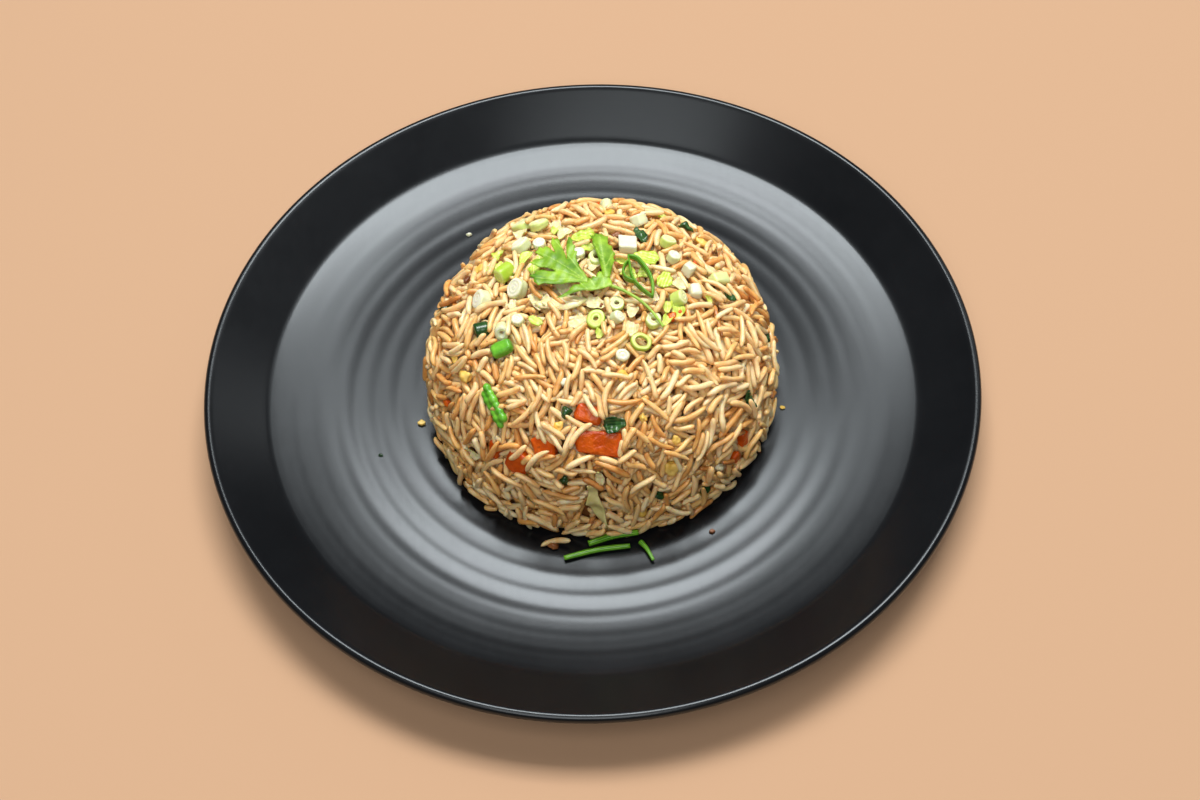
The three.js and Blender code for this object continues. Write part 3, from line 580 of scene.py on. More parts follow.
# Rounds of spring onion: kind, bearing, arc, lift, across, thickness, hole, spin, lean
SLICES = [
    ("pale", 125, 48, 0.6, 7.3, 3.2, 0, 0, 10), ("pale", 120, 41, 0.9, 7.2, 2.8, 2.4, 0, 14),
    ("white", 138, 36, 0.9, 7.1, 3.6, 0, 0, 20), ("white", 131, 30.6, 0.7, 4.8, 3.2, 0, 30, 0),
    ("lime", 160, 34.5, 1, 5.6, 6.6, 0, 70, 75), ("white", 174, 28, 1.1, 7.0, 4.2, 0, 40, 30),
    ("white", 177, 41, 1, 7.0, 4.2, 0, 20, 25), ("white", 201, 36, 0.8, 5.4, 4.2, 1.8, 80, 55),
    ("white", 200, 29.6, 0.9, 4.4, 3, 0, 0, 0), ("white", 111, 18, 0.5, 4.6, 2.8, 0, 0, 0),
    ("pale", 90, 14.6, 0.6, 6.6, 2.6, 3.2, 0, 0), ("lime", 264, 12.6, 0.9, 6.6, 2.4, 2, 0, 12),
    ("white", 296, 13.4, 1, 4.4, 3.6, 0, 50, 40), ("pale", 314, 8.6, 0.6, 5.6, 2.2, 2, 0, 0),
    ("pale", 42, 33.4, 1, 5.5, 3.6, 0, 0, 15), ("white", 66, 37.5, 0.8, 5.8, 4.2, 0, 60, 45),
    ("white", 29, 30.2, 1, 4.7, 3.6, 0, 0, 10), ("pale", 352, 27.4, 0.9, 5.4, 4.6, 0, 10, 40),
    ("pale", 324, 22.4, 0.8, 5.8, 2.6, 2, 0, 0), ("lime", 302, 25.6, 0.8, 6.8, 2.4, 4.2, 0, 8),
    ("white", 285, 27.5, 0.6, 4.6, 2.8, 0, 0, 12), ("white", 85, 47, 0.4, 4.8, 4.4, 0, 15, 60),
]

# Blocks: node, kind, bearing, arc, lift, width, depth, height, spin, lean
BLOCKS = [
    ("onion_dice_1", "white", 62, 22.6, 1, 6.2, 6, 3.6, 25, 0),
    ("onion_dice_2", "white", 17, 33, 1.1, 4.2, 4.2, 4, 30, 12),
    ("onion_dice_3", "white", 0.5, 33.2, 1.1, 4.6, 4.2, 4, 8, -10),
    ("onion_dice_4", "pale", 11.5, 44, 0.8, 4.4, 7.6, 3.4, 15, 0),
    ("bean_2", "green", 210, 39.2, 1.2, 5, 7.4, 3.6, -15, 0),
    ("carrot_1", "carrot", 267, 56.6, -2.6, 17, 8.6, 6.4, -6, 0),
    ("carrot_2", "carrot", 263.5, 46.4, -2.4, 9, 6, 6, -14, 0),
    ("carrot_3", "carrot", 248, 61, -2.5, 7.8, 7.8, 6.4, 24, 0),
    ("carrot_4", "carrot", 239.5, 70.5, -2.2, 8, 8.8, 6.4, -12, 0),
    ("carrot_5", "carrot", 229.5, 70.5, -1.9, 3.8, 7, 5, 10, 0),
    ("carrot_6", "carrot", 323, 81.5, -1.6, 3.8, 6.4, 4.6, -12, 0),
    ("carrot_7", "carrot", 318, 87.5, -1.5, 4.4, 4.6, 4.4, 20, 0),
]

# Leafy scraps: node, kind, bearing, arc, lift, width, depth, spin, cup, thickness
SCRAPS = [
    ("onion_leaf_1", "lime", 145, 30.6, 1, 7, 3.6, 0, 0.8, 0.8),
    ("onion_leaf_2", "lime", 207, 24.6, 0.8, 5.6, 3.2, 25, 0.8, 0.8),
    ("onion_leaf_3", "lime", 100, 25.2, 1.2, 8.4, 6, 0, 1.6, 0.8),
    ("onion_leaf_4", "lime", 10, 23.2, 1, 7.4, 5.2, -30, 0.8, 0.8),
    ("onion_leaf_5", "lime", 39, 22, 1, 8.6, 6.4, 35, 0.8, 0.8),
    ("green_leaf_1", "dark", 59, 29.6, 1.2, 8, 3.8, -38, 1.2, 0.8),
    ("green_leaf_2", "dark", 48, 50, 1, 5.6, 3.8, 30, 1.2, 0.8),
    ("green_leaf_3", "dark", 3, 47, 0.8, 2.6, 5.6, 0, 0.8, 0.8),
    ("green_leaf_4", "dark", 330, 69, 0.7, 4, 9, 0, 1, 0.8),
    ("green_leaf_5", "dark", 274, 50, 1, 7.6, 5.4, 0, 1.6, 1.2),
]


def block_space(pile, place, size):
    """Fills a cut piece's box with beads, so that no grain is laid through it."""
    bead = min(size) / 2
    axes = [np.linspace(bead - s / 2, s / 2 - bead, max(1, math.ceil(s / bead) - 1)) for s in size]
    points = np.stack(np.meshgrid(*axes, indexing="ij"), axis=-1).reshape(-1, 3)
    pile.block(placed(points, *place), bead)


def grain_parts(laid, seed):
    """Mesh arrays for a list of laid grains, with a tone for each grain and a place along it."""
    rng = np.random.default_rng(seed)
    count = len(laid)
    length = np.array([grain[2] for grain in laid])
    width = np.array([grain[3] for grain in laid])
    bend = np.array([grain[4] for grain in laid])
    shapes = grain_shapes(length, width, bend, rng.normal(0, 0.9, count), rng.uniform(2.8, 7.0, count))
    axes = np.stack([grain[1] for grain in laid])
    origin = spilled(np.stack([grain[0] for grain in laid]))
    points = np.einsum("nij,nkj->nik", shapes, axes) + origin[:, None, :]
    each = points.shape[1]
    ends, quads = grain_faces()
    start = (np.arange(count) * each)[:, None, None]
    faces = (ends + start).reshape(-1, 3).tolist() + (quads + start).reshape(-1, 4).tolist()
    tone = np.repeat(rng.uniform(0, 1, count), each)
    along = np.abs(shapes[:, :, 0] / (length[:, None] / 2)).reshape(-1)
    return points.reshape(-1, 3), faces, {"tone": tone, "along": along}


def rice_material(name, *colours):
    """Low and high tones of the grains, and the deeper colour of blotches and tips."""
    low, high, tip = (srgb(*colour) for colour in colours)
    made = Nodes(name)
    colour = made.ramp(made.value("tone"), [(0.0, low), (1.0, high)])
    blotch = made.noise(260, 3, 0.6)
    colour = made.mix(made.mask(blotch, 0.42, 0.72, 0, 0.8), colour, tip)
    colour = made.mix(made.mask(made.value("along"), 0.75, 1.0, 0, 0.4), colour, tip)
    rough = made.math("MULTIPLY_ADD", blotch, 0.22, 0.22)
    made.set(Base_Color=colour, Roughness=rough, Specular_IOR_Level=0.5)
    made.soft(0.6, (1.0, 0.66, 0.34), 0.0022)
    made.bump(made.noise(1400, 2, 0.5), 0.00005, 0.3)
    return made.material


RICE_KINDS = [
    ("rice_grains_cream", (244, 209, 154), (252, 227, 180), (232, 180, 112)),
    ("rice_grains_pale", (240, 199, 138), (250, 214, 158), (224, 164, 92)),
    ("rice_grains_tan", (234, 189, 120), (246, 205, 140), (210, 148, 76)),
    ("rice_grains_golden", (224, 167, 94), (238, 186, 114), (192, 121, 50)),
    ("rice_grains_brown", (196, 131, 65), (218, 157, 87), (146, 85, 32)),
]

# Bearings and arcs where grains lie over the carrots' edges
OVER_CARROTS = [
    (274, 60), (262, 62), (258, 52), (250, 57), (245, 66), (236, 75), (231, 67), (233, 77), (276, 53),
]
# Grains that hang out over the plate at the front: bearing and distance from the dome's axis
LOOSE_GRAINS = [(254, 63.5), (307, 61.5)]
# Share of a cut piece's width that the grains keep clear of
CLEAR = 0.8
# Half-sunk grains, then the lower layer: places tried, limit of height and tilt
BED_GRAINS = 1500
LOWER = (3600, -0.5, 0.2)
# Upper layers: places tried, limit of height, tilt, and whether the lowest way is kept
UPPER = [(6500, 1.1, 0.3, True), (3000, 2.3, 0.45, False), (900, 3.2, 0.75, False)]
FOOT_GRAINS = 260


def make_rice():
    pile = Pile(11)
    for kind, *place, across, thick, hole, spin, lean in SLICES:
        block_space(pile, dome_frame(*place, spin, lean), (across * CLEAR, across * CLEAR, thick))
    deep = pile.count
    for node, kind, bearing, arc, lift, wide, deep_side, tall, spin, lean in BLOCKS:
        open_top = 1.5 if kind == "carrot" else 0
        place = dome_frame(bearing, arc, lift + open_top / 2, spin, lean)
        block_space(pile, place, (wide, deep_side, tall + open_top))
    for node, kind, *place, wide, deep_side, spin, cup, thick in SCRAPS:
        block_space(pile, dome_frame(*place, spin), (wide * CLEAR, deep_side * CLEAR, 1.6))
    block_space(pile, dome_frame(266, 82, 1.6, -6), (7, 17, 3.2))
    for kind, bearing, arc, size in BITS:
        pile.block(dome_frame(bearing, arc, 0.2)[0], size * 0.36)
    for kind, bearing, arc, wide, deep_side, spin in SMALL_SCRAPS:
        place = dome_frame(bearing, arc, 0.9, spin)
        block_space(pile, place, (wide * CLEAR, deep_side * CLEAR, 1.4))
    # The lower layer runs on under the slices: their beads come back for the upper ones
    kept = pile.sizes[:deep].copy()
    pile.sizes[:deep] = 0
    share = 1
    pile.bed(int(BED_GRAINS * share))
    pile.spread(int(LOWER[0] * share), *LOWER[1:])
    pile.sizes[:deep] = kept
    for count, *rest in UPPER:
        pile.spread(int(count * share), *rest)
    for bearing, arc in OVER_CARROTS:
        pile.lay(bearing, arc, 4.2, 0.3)
    for _ in range(int(FOOT_GRAINS * share)):
        bearing = pile.random.uniform(0, 360)
        front = max(0, -math.sin(math.radians(bearing))) ** 2
        reach = pile.random.uniform(54, 59.5) + 1.5 * front
        pile.lay(bearing, reach, 6 + 3 * front, 0.35, True, False)
    for bearing, reach in LOOSE_GRAINS:
        pile.lay(bearing, reach, 5, 0.2, True)
    return pile


# Share of each kind at half height, and how it changes from the base to the crown: a painted shade, paler
# where the top light falls and browner down the sides
KIND_SHARES = np.array([0.27, 0.29, 0.25, 0.15, 0.04])
KIND_PAINTED_SHADE = np.array([0.08, 0.06, 0, -0.07, -0.07])


def share_out(laid, seed):
    """Sorts the grains into kinds at random, with a painted shade by height: paler over the crown, browner
    down the sides where less light falls.
    """
    rng = np.random.default_rng(seed)
    kinds = [[] for _ in RICE_KINDS]
    for grain in laid:
        height = (grain[0][2] - FLOOR_Z) / DOME_HEIGHT
        weights = KIND_SHARES + (height - 0.5) * KIND_PAINTED_SHADE
        kinds[rng.choice(len(kinds), p=weights / weights.sum())].append(grain)
    return kinds


def make_core():
    """The heap's inside: the dome's own form, a few millimetres in, with bumps of grain size. Its dark brown
    colour is painted shade for the gaps between the grains.
    """
    rows, columns = 150, 300
    arc = np.linspace(0.4, DOME_ARC, rows)
    bearing = np.linspace(0, TAU, columns, endpoint=False)
    radius, height, out, down = dome_line(arc)
    x = radius[:, None] * np.cos(bearing)
    y = radius[:, None] * np.sin(bearing)
    bumps = np.sin(x * 1.9 + 1.3 * np.sin(y * 1.1)) * np.sin(y * 1.7 + height[:, None] * 1.5)
    lift = CORE_LIFT - 1.5 + 0.5 * bumps
    flat = (radius[:, None] - down[:, None] * lift)
    z = height[:, None] + out[:, None] * lift + FLOOR_Z
    x = flat * np.cos(bearing) + DOME_X
    y = flat * np.sin(bearing)
    z = np.maximum(z, plate_top(np.hypot(x, y)) + 0.35)
    points = spilled(np.stack([x, y, z], axis=-1).reshape(-1, 3))
    return new_piece("rice_core", points, closed_faces(rows, columns))


# Spring onion

def slice_mesh(across, thick, hole, seed):
    """A cut round of spring onion with raised layers on its ends."""
    rng = np.random.default_rng(seed)
    sides, outer, inner, half = 30, across / 2, hole / 2, thick / 2
    rim = min(0.8, half * 0.6)
    face = np.linspace(max(inner, 0.02), outer - rim, 12)
    layers = 0.16 * np.cos(face * TAU / 1.15 + rng.uniform(0, 6))
    turn = np.linspace(0, math.pi / 2, 5)[1:]
    top = list(zip(face, half + layers * 0.6)) + [
        (outer - rim + rim * math.sin(t), half - rim + rim * math.cos(t)) for t in turn]
    levels = np.linspace(half - rim, rim - half, 5)[1:-1]
    wall = [(outer * (1 + 0.02 * math.sin(7 * level)), level) for level in levels]
    profile = top + wall + [(r, -h) for r, h in reversed(top)]
    radius, height = np.array([p[0] for p in profile]), np.array([p[1] for p in profile])
    angle = np.linspace(0, TAU, sides, endpoint=False)
    uneven = 1 + rng.uniform(0.03, 0.09) * np.cos(2 * angle + rng.uniform(0, 6))
    uneven = uneven + 0.02 * np.cos(5 * angle + 1)
    x = radius[:, None] * np.cos(angle) * uneven
    y = radius[:, None] * np.sin(angle) * uneven
    slant = rng.uniform(-0.08, 0.08)
    z = height[:, None] + slant * x * np.sign(height)[:, None]
    points = np.stack([x, y, z], axis=-1).reshape(-1, 3)
    faces = closed_faces(len(profile), sides, inner > 0)
    radial = np.repeat(radius / outer, sides)
    tone = np.full(len(points), rng.uniform())
    return points, faces, {"radial": radial, "tone": tone}


def onion_material(name, clear, *colours):
    """Colours of the flesh, of its layers and of the outside."""
    middle, layer, skin = (srgb(*colour) for colour in colours)
    made = Nodes(name)
    radial = made.value("radial")
    wobble = made.math("SUBTRACT", radial, 0.07)
    wobble = made.math("MULTIPLY_ADD", made.noise(500, 2), 0.14, wobble)
    rings = [(0.0, middle), (0.35, layer), (0.55, middle), (0.78, layer), (1.0, skin)]
    colour = made.ramp(wobble, rings)
    streak = made.noise(700, 3, 0.6)
    colour = made.mix(made.mask(streak, 0.5, 0.8, 0, 0.35), colour, skin)
    colour = made.mix(made.math("MULTIPLY", made.value("tone"), 0.3), colour, layer)
    made.set(Base_Color=colour, Roughness=0.3, Specular_IOR_Level=0.5)
    made.soft(clear, (1.0, 0.9, 0.45), 0.0018)
    made.bump(streak, 0.0001, 0.4)
    return made.material


# Cut blocks

def block_mesh(wide, deep, tall, seed, rounding):
    """A hand-cut block: uneven corners, softened edges and a slightly wavy surface."""
    rng = np.random.default_rng(seed)
    made = bmesh.new()
    bmesh.ops.create_cube(made, size=1)
    for vert in made.verts:
        jitter = rng.uniform(-0.12, 0.12, 3)
        x, y, z = vert.co
        vert.co = ((x + jitter[0]) * wide, (y + jitter[1]) * deep, (z + jitter[2] * 0.6) * tall)
    offset = rounding * min(wide, deep, tall)
    bmesh.ops.bevel(made, geom=made.edges[:], offset=offset, segments=3, affect="EDGES", profile=0.6)
    bmesh.ops.subdivide_edges(made, edges=made.edges[:], cuts=2, use_grid_fill=True)
    points = np.array([vert.co[:] for vert in made.verts])
    wave = np.sin(points[:, 0] * 1.3 + rng.uniform(0, 6)) * np.sin(points[:, 1] * 1.1 + rng.uniform(0, 6))
    wave += 0.5 * np.sin(points[:, 0] * 3.1 + points[:, 2] * 2.7)
    size = np.linalg.norm(points, axis=1, keepdims=True)
    points = points * (1 + 0.10 * wave[:, None] / np.maximum(size, 1))
    limit = np.array([wide, deep, tall]) / 2
    points = np.clip(points, -limit * 1.06, limit * 1.06)
    faces = [tuple(vert.index for vert in face.verts) for face in made.faces]
    made.free()
    # Near an edge two of the three shares of the half sizes are large, on a face only one
    shares = np.sort(np.abs(points) / limit, axis=1)
    tone = np.full(len(points), rng.uniform())
    return points, faces, {"edge": np.clip(shares[:, 1], 0, 1), "tone": tone, "radial": shares[:, 2] * 0.6}


def carrot_material():
    made = Nodes("cooked_carrot")
    fibre = made.noise(240, 4, 0.6, made.stretched((1, 0.35, 1)))
    bands = [(0.3, srgb(190, 68, 4)), (0.55, srgb(220, 94, 10)), (0.8, srgb(240, 126, 30))]
    # Darker towards the block's edges
    edge_darkening = made.mask(made.value("edge"), 0.75, 1.0, 0, 0.7)
    colour = made.mix(edge_darkening, made.ramp(fibre, bands), srgb(160, 44, 4))
    spots = made.mask(made.noise(380, 3, 0.7), 0.62, 0.78, 0, 0.75)
    colour = made.mix(spots, colour, srgb(96, 36, 12))
    rough = made.math("MULTIPLY_ADD", fibre, 0.22, 0.2)
    made.set(Base_Color=colour, Roughness=rough, Specular_IOR_Level=0.4)
    made.soft(0.05, (1.0, 0.5, 0.2))
    wrinkle = made.noise(420, 3, 0.55)
    made.bump(made.math("MULTIPLY_ADD", wrinkle, 0.7, fibre), 0.0009, 0.8)
    return made.material


# Sheets: leaves, petals and scraps

def inside(outline, points):
    """Which points lie inside a closed outline."""
    x, y = points[:, 0], points[:, 1]
    result = np.zeros(len(points), bool)
    after = np.roll(outline, -1, axis=0)
    for (x0, y0), (x1, y1) in zip(outline, after):
        crosses = (y0 > y) != (y1 > y)
        at = x0 + (y - y0) * (x1 - x0) / (y1 - y0 if y1 != y0 else 1e-9)
        result ^= crosses & (x < at)
    return result


def run_distance(points, first, second):
    """Distance in plan from points to the straight run between two places."""
    first, second = np.asarray(first, float), np.asarray(second, float)
    run = second - first
    share = np.clip(((points - first) @ run) / max(run @ run, 1e-9), 0, 1)
    return np.linalg.norm(points - first - share[:, None] * run, axis=1)


def edge_distance(outline, points):
    runs = zip(outline, np.roll(outline, -1, axis=0))
    return np.min([run_distance(points, *ends) for ends in runs], axis=0)


def refined(outline, step):
    """The outline with points about a step apart."""
    outline = np.asarray(outline, float)
    after = np.roll(outline, -1, axis=0)
    points = []
    for first, second in zip(outline, after):
        count = max(1, int(round(np.linalg.norm(second - first) / step)))
        points.extend(first + (second - first) * (index / count) for index in range(count))
    return np.array(points)


def sheet_mesh(outline, step, bend, thickness, veins=()):
    """A thin closed sheet over an outline in plan. The bend gives its middle height, and it
    thins towards its edge. Veins are pairs of plan points that the surface remembers."""
    outline = refined(outline, step)
    low, high = outline.min(0), outline.max(0)
    grid_x = np.arange(low[0], high[0], step)
    rows = np.arange(low[1], high[1], step * 0.866)
    inner = np.concatenate([
        np.column_stack([grid_x + (row % 2) * step / 2, np.full(len(grid_x), y)])
        for row, y in enumerate(rows)
    ])
    inner = inner[inside(outline, inner) & (edge_distance(outline, inner) > step * 0.55)]
    points = np.concatenate([outline, inner])
    edges = [(index, (index + 1) % len(outline)) for index in range(len(outline))]
    flat, _, faces, _, _, _ = delaunay_2d_cdt([Vector(p) for p in points], edges, [], 1, 1e-5)
    flat = np.array([p[:] for p in flat])
    count = len(flat)
    height = bend(flat[:, 0], flat[:, 1])
    edge = edge_distance(outline, flat)
    half = thickness / 2 * np.clip(0.45 + edge / 1.2, 0.45, 1)
    vein = np.full(count, 9.0)
    for ends in veins:
        vein = np.minimum(vein, run_distance(flat, *ends))
    dent = 0.12 * np.exp(-(vein / 0.5) ** 2)
    top = np.column_stack([flat, height + half - dent])
    under = np.column_stack([flat, height - half - dent])
    closed = [tuple(face) for face in faces]
    sides = [pair for face in closed for pair in zip(face, face[1:] + face[:1])]
    known = set(sides)
    closed += [tuple(corner + count for corner in reversed(face)) for face in list(closed)]
    for first, second in sides:
        if (second, first) not in known:
            closed.append((second, first, first + count, second + count))
    return np.concatenate([top, under]), closed, {"vein": np.tile(vein, 2)}


def scrap_mesh(wide, deep, cup, thin, seed):
    rng = np.random.default_rng(seed)
    angle = np.linspace(0, TAU, 40, endpoint=False)
    ragged = 1 + 0.12 * np.sin(3 * angle + wide) + 0.05 * np.sin(7 * angle + rng.uniform(0, 6))
    outline = np.column_stack([wide / 2 * ragged * np.cos(angle), deep / 2 * ragged * np.sin(angle)])

    def bend(x, y):
        curl = cup * (2 * y / deep) ** 2 - cup / 2
        return curl + 0.18 * cup * np.sin(1.9 * x) + 0.12 * np.sin(3.1 * y + x)

    veins = [((-wide / 2, offset * deep), (wide / 2, offset * deep)) for offset in (-0.3, -0.1, 0.1, 0.3)]
    return sheet_mesh(outline, 0.45, bend, thin, veins)


# Garnish outlines in plan about the dome's axis
LARGE_LEAFLET = [
    (-2.6, 0.4), (-4.4, 4.4), (-4.9, 5.3), (-6.4, 8.0), (-7.4, 11.5), (-6.9, 14.0), (-7.9, 14.6), (-7.5, 16.8),
    (-8.4, 17.4), (-8.4, 19.4), (-9.6, 21.4), (-10.4, 19.0), (-10.6, 16.6), (-10.5, 11.0), (-11.9, 16.6),
    (-12.6, 18.0), (-13.0, 20.6), (-14.1, 21.4), (-14.5, 20.6), (-15.5, 22.2), (-15.9, 18.9), (-14.4, 13.9),
    (-17.0, 17.0), (-18.3, 17.4), (-18.6, 16.6), (-20.1, 17.6), (-20.6, 16.2), (-21.5, 15.5), (-18.4, 12.2),
    (-22.6, 12.1), (-22.2, 11.4), (-23.6, 11.0), (-20.4, 8.6), (-16.5, 7.6), (-14.3, 5.5), (-19.1, 7.1),
    (-21.2, 6.6), (-21.6, 5.4), (-23.7, 4.6), (-22.0, 3.4), (-22.0, 1.8), (-20.5, 0.0), (-18.3, 0.7),
    (-11.8, 0.2), (-7.4, 0.3),
]
FOLDED_LEAFLET = [
    (1.2, 1.2), (1.4, 4.5), (0.5, 10.4), (-0.9, 16.4), (-1.6, 17.6), (-1.4, 19.6), (-2.3, 22.0), (-1.0, 21.3),
    (-0.5, 22.4), (0.7, 21.4), (1.7, 22.3), (2.7, 21.2), (4.0, 21.2), (3.8, 17.4), (5.3, 16.7), (5.2, 15.0),
    (6.3, 13.7), (5.5, 12.0), (5.9, 10.2), (5.0, 7.4), (4.6, 4.6), (4.0, 2.1),
]
SMALL_LEAFLET = [
    (4.9, -1.8), (4.3, 1.0), (2.8, 5.6), (1.9, 4.3), (0.6, 4.6), (-0.3, 3.9), (-0.7, 2.4), (-1.9, 3.0),
    (-2.3, 2.0), (-3.6, 2.7), (-3.8, 0.8), (-5.0, 1.0), (-6.2, 0.3), (-6.4, -0.7), (-8.2, -0.8),
    (-9.5, -1.7), (-10.0, -2.7), (-11.0, -3.4), (-14.5, -5.9), (-9.3, -4.2), (-5.8, -3.2), (-2.3, -2.9),
    (1.2, -2.5),
]
STALK = [
    (4, -1.2), (8.1, -3.3), (11.5, -5.6), (14, -7.5), (16, -9.6), (18.1, -12.2), (19.7, -14.6), (21.3, -17.3),
]
CURL_RIGHT = [(10.6, 12), (13.4, 11), (15.3, 8.4), (16.9, 5.3), (18.1, 1.9), (18.5, -1.7), (18.2, -6)]
CURL_LEFT = [(10.6, 12), (11, 7.9), (11.3, 3.9), (12.4, 0.5), (14.8, -2.8), (18.2, -6)]
CURL_LOOP = [(10.9, 10), (9.3, 7.6), (8.6, 4.9), (9.2, 2.4), (10.8, 1.2), (12.6, 0.4)]
CURL_LIFT = 4.05
CURL_HEIGHT = 3.0
PETAL_OUTLINE = [
    (-22.1, -4.6), (-19, -2.6), (-15.2, -1.6), (-10.6, -2.4), (-6, -2.2),
    (-3.4, -3.6), (-6.9, -6.9), (-11.2, -8.1), (-16.4, -6.8), (-20, -6.6),
]
CABBAGE_OUTLINE = [
    (-3.4, 10.4), (0.2, 9), (1, 4.6), (3.2, 1), (4.4, -4),
    (6.2, -9.6), (3.4, -8.4), (-0.4, -3.4), (-3, 1.4), (-2.4, 5.6),
]
LEAF_THICKNESS = 0.42


def curve_points(points, count):
    """A smooth run of points through a few given ones."""
    points = np.asarray(points, float)
    padded = np.vstack([2 * points[0] - points[1], points, 2 * points[-1] - points[-2]])
    spans = len(points) - 1
    place = np.linspace(0, spans, count)
    index = np.minimum(place.astype(int), spans - 1)
    t = (place - index)[:, None]
    p0, p1, p2, p3 = (padded[index + shift] for shift in range(4))
    square = (2 * p0 - 5 * p1 + 4 * p2 - p3) * t ** 2
    cube = (3 * p1 - p0 - 3 * p2 + p3) * t ** 3
    return 0.5 * (2 * p1 + (p2 - p0) * t + square + cube)


def swept(points, wide, tall, count, sides, square, taper):
    """A closed band or stem along a curve. Square 2 is a round section, larger is boxier."""
    path = curve_points(points, count)
    tangent = np.gradient(path, axis=0)
    tangent /= np.linalg.norm(tangent, axis=1, keepdims=True)
    side = np.cross(tangent, (0, 0, 1))
    side /= np.linalg.norm(side, axis=1, keepdims=True)
    rise = np.cross(side, tangent)
    angle = np.arange(sides) * TAU / sides
    c, s = np.cos(angle), np.sin(angle)
    c = np.sign(c) * np.abs(c) ** (2 / square)
    s = np.sign(s) * np.abs(s) ** (2 / square)
    size = taper(np.linspace(0, 1, count))[:, None, None]
    points = path[:, None, :] + side[:, None, :] * (c * wide / 2)[None, :, None] * size
    points = points + rise[:, None, :] * (s * tall / 2)[None, :, None] * size
    return points.reshape(-1, 3), closed_faces(count, sides), {"turn": np.tile(angle / TAU, count)}


def over_dome(points, lift):
    """Plan points about the dome's axis, raised over its surface, in the model's frame."""
    points = np.asarray(points, float)
    height = dome_height(points[:, 0], points[:, 1]) + FLOOR_Z + lift
    return np.column_stack([points[:, 0] + DOME_X, points[:, 1], height])


def draped(outline, thickness, lift, fold, veins=()):
    """A sheet that follows the dome at a lift over it, with folds of its own."""
    def bend(x, y):
        return dome_height(x, y) + FLOOR_Z + lift + fold(x, y)

    points, faces, values = sheet_mesh(outline, 0.6, bend, thickness, veins)
    points[:, 0] += DOME_X
    return points, faces, values


def make_sprig():
    def wavy(x, y):
        slow = 0.35 * np.sin(0.55 * x + 0.3 * y) + 0.02 * np.hypot(x, y)
        return slow + 0.10 * np.sin(1.6 * x - 0.9 * y)

    def folded(x, y):
        return 0.3 - 0.32 * np.abs(x - 3.2 + 0.12 * y) + 0.25 * np.sin(0.4 * y)

    tips = ((-8.8, 19), (-14.5, 20.5), (-20.5, 15.5), (-22, 10.5), (-21.5, 3.4))
    large_veins = [((-3.5, 1), tip) for tip in tips]
    folded_veins = [((2.8, 1.5), (1.2, 20.5)), ((2.2, 8), (-1, 18)), ((2.6, 6), (5.4, 14))]
    small_veins = [((4.4, -1.2), (-13, -5.2)), ((2, -1), (1.6, 4))]
    small_veins += [((-1, -1.6), (-3, 2)), ((-4, -2.4), (-6, 0))]
    path = over_dome(STALK, np.linspace(4.6, 3.3, len(STALK)))
    stem, faces, _ = swept(path, 1.15, 1.15, 40, 10, 2.0, lambda t: 1.05 - 0.3 * t)
    parts = [
        draped(LARGE_LEAFLET, LEAF_THICKNESS, 4.6, wavy, large_veins),
        draped(FOLDED_LEAFLET, LEAF_THICKNESS, 4.86, folded, folded_veins),
        draped(SMALL_LEAFLET, LEAF_THICKNESS, 4.6, wavy, small_veins),
        (stem, faces, {"vein": np.full(len(stem), 0.15)}),
    ]
    return new_piece("coriander_leaves", *joined(parts))


def make_curl():
    def thin(t):
        return 0.35 + 0.65 * np.sin(math.pi * np.clip(t * 0.9 + 0.06, 0, 1)) ** 0.5

    bands = ((CURL_RIGHT, 1.4, 30), (CURL_LEFT, 1.0, 26), (CURL_LOOP, 0.9, 22))
    parts = [swept(over_dome(path, CURL_LIFT), wide, CURL_HEIGHT, count, 12, 3.0, thin)
             for path, wide, count in bands]
    return new_piece("green_onion_curl", *joined(parts))


# Chives on the plate: ends in plan about the dome's axis, lift over the plate, thickness
CHIVES = [
    ("chive_1", (-6.8, -68.2), (10.6, -64.4), 4.1, 2.4),
    ("chive_2", (-15.4, -72.1), (7.6, -68.2), 1.5, 2.0),
    ("chive_3", (11.2, -66.6), (15.4, -74.2), 1.4, 1.9),
]


def make_chive(name, first, last, lift, across):
    share = np.array([0, 0.5, 1])
    x = first[0] + (last[0] - first[0]) * share
    y = first[1] + (last[1] - first[1]) * share + 0.8 * np.sin(math.pi * share)
    z = plate_top(np.hypot(x + DOME_X, y)) + lift
    path = np.column_stack([x + DOME_X, y, z])

    def taper(t):
        return 1.05 - 0.45 * t if name == "chive_3" else 1 - 0.15 * np.abs(2 * t - 1) ** 3

    return new_piece(name + "_cut", *swept(path, across, across * 0.86, 26, 14, 2.3, taper))


def chive_material(name, dark, light):
    made = Nodes(name)
    wave = made.add("TexWave", Vector=made.value("turn"), Scale=3.0, Distortion=1.0)
    stripe = made.mix(0.5, made.noise(260, 3, 0.6), wave.outputs["Fac"])
    colour = made.ramp(stripe, [(0.3, srgb(*dark)), (0.75, srgb(*light))])
    made.set(Base_Color=colour, Roughness=0.32, Specular_IOR_Level=0.5)
    made.soft(0.1, (0.5, 1.0, 0.2))
    made.bump(stripe, 0.0002, 0.4)
    return made.material


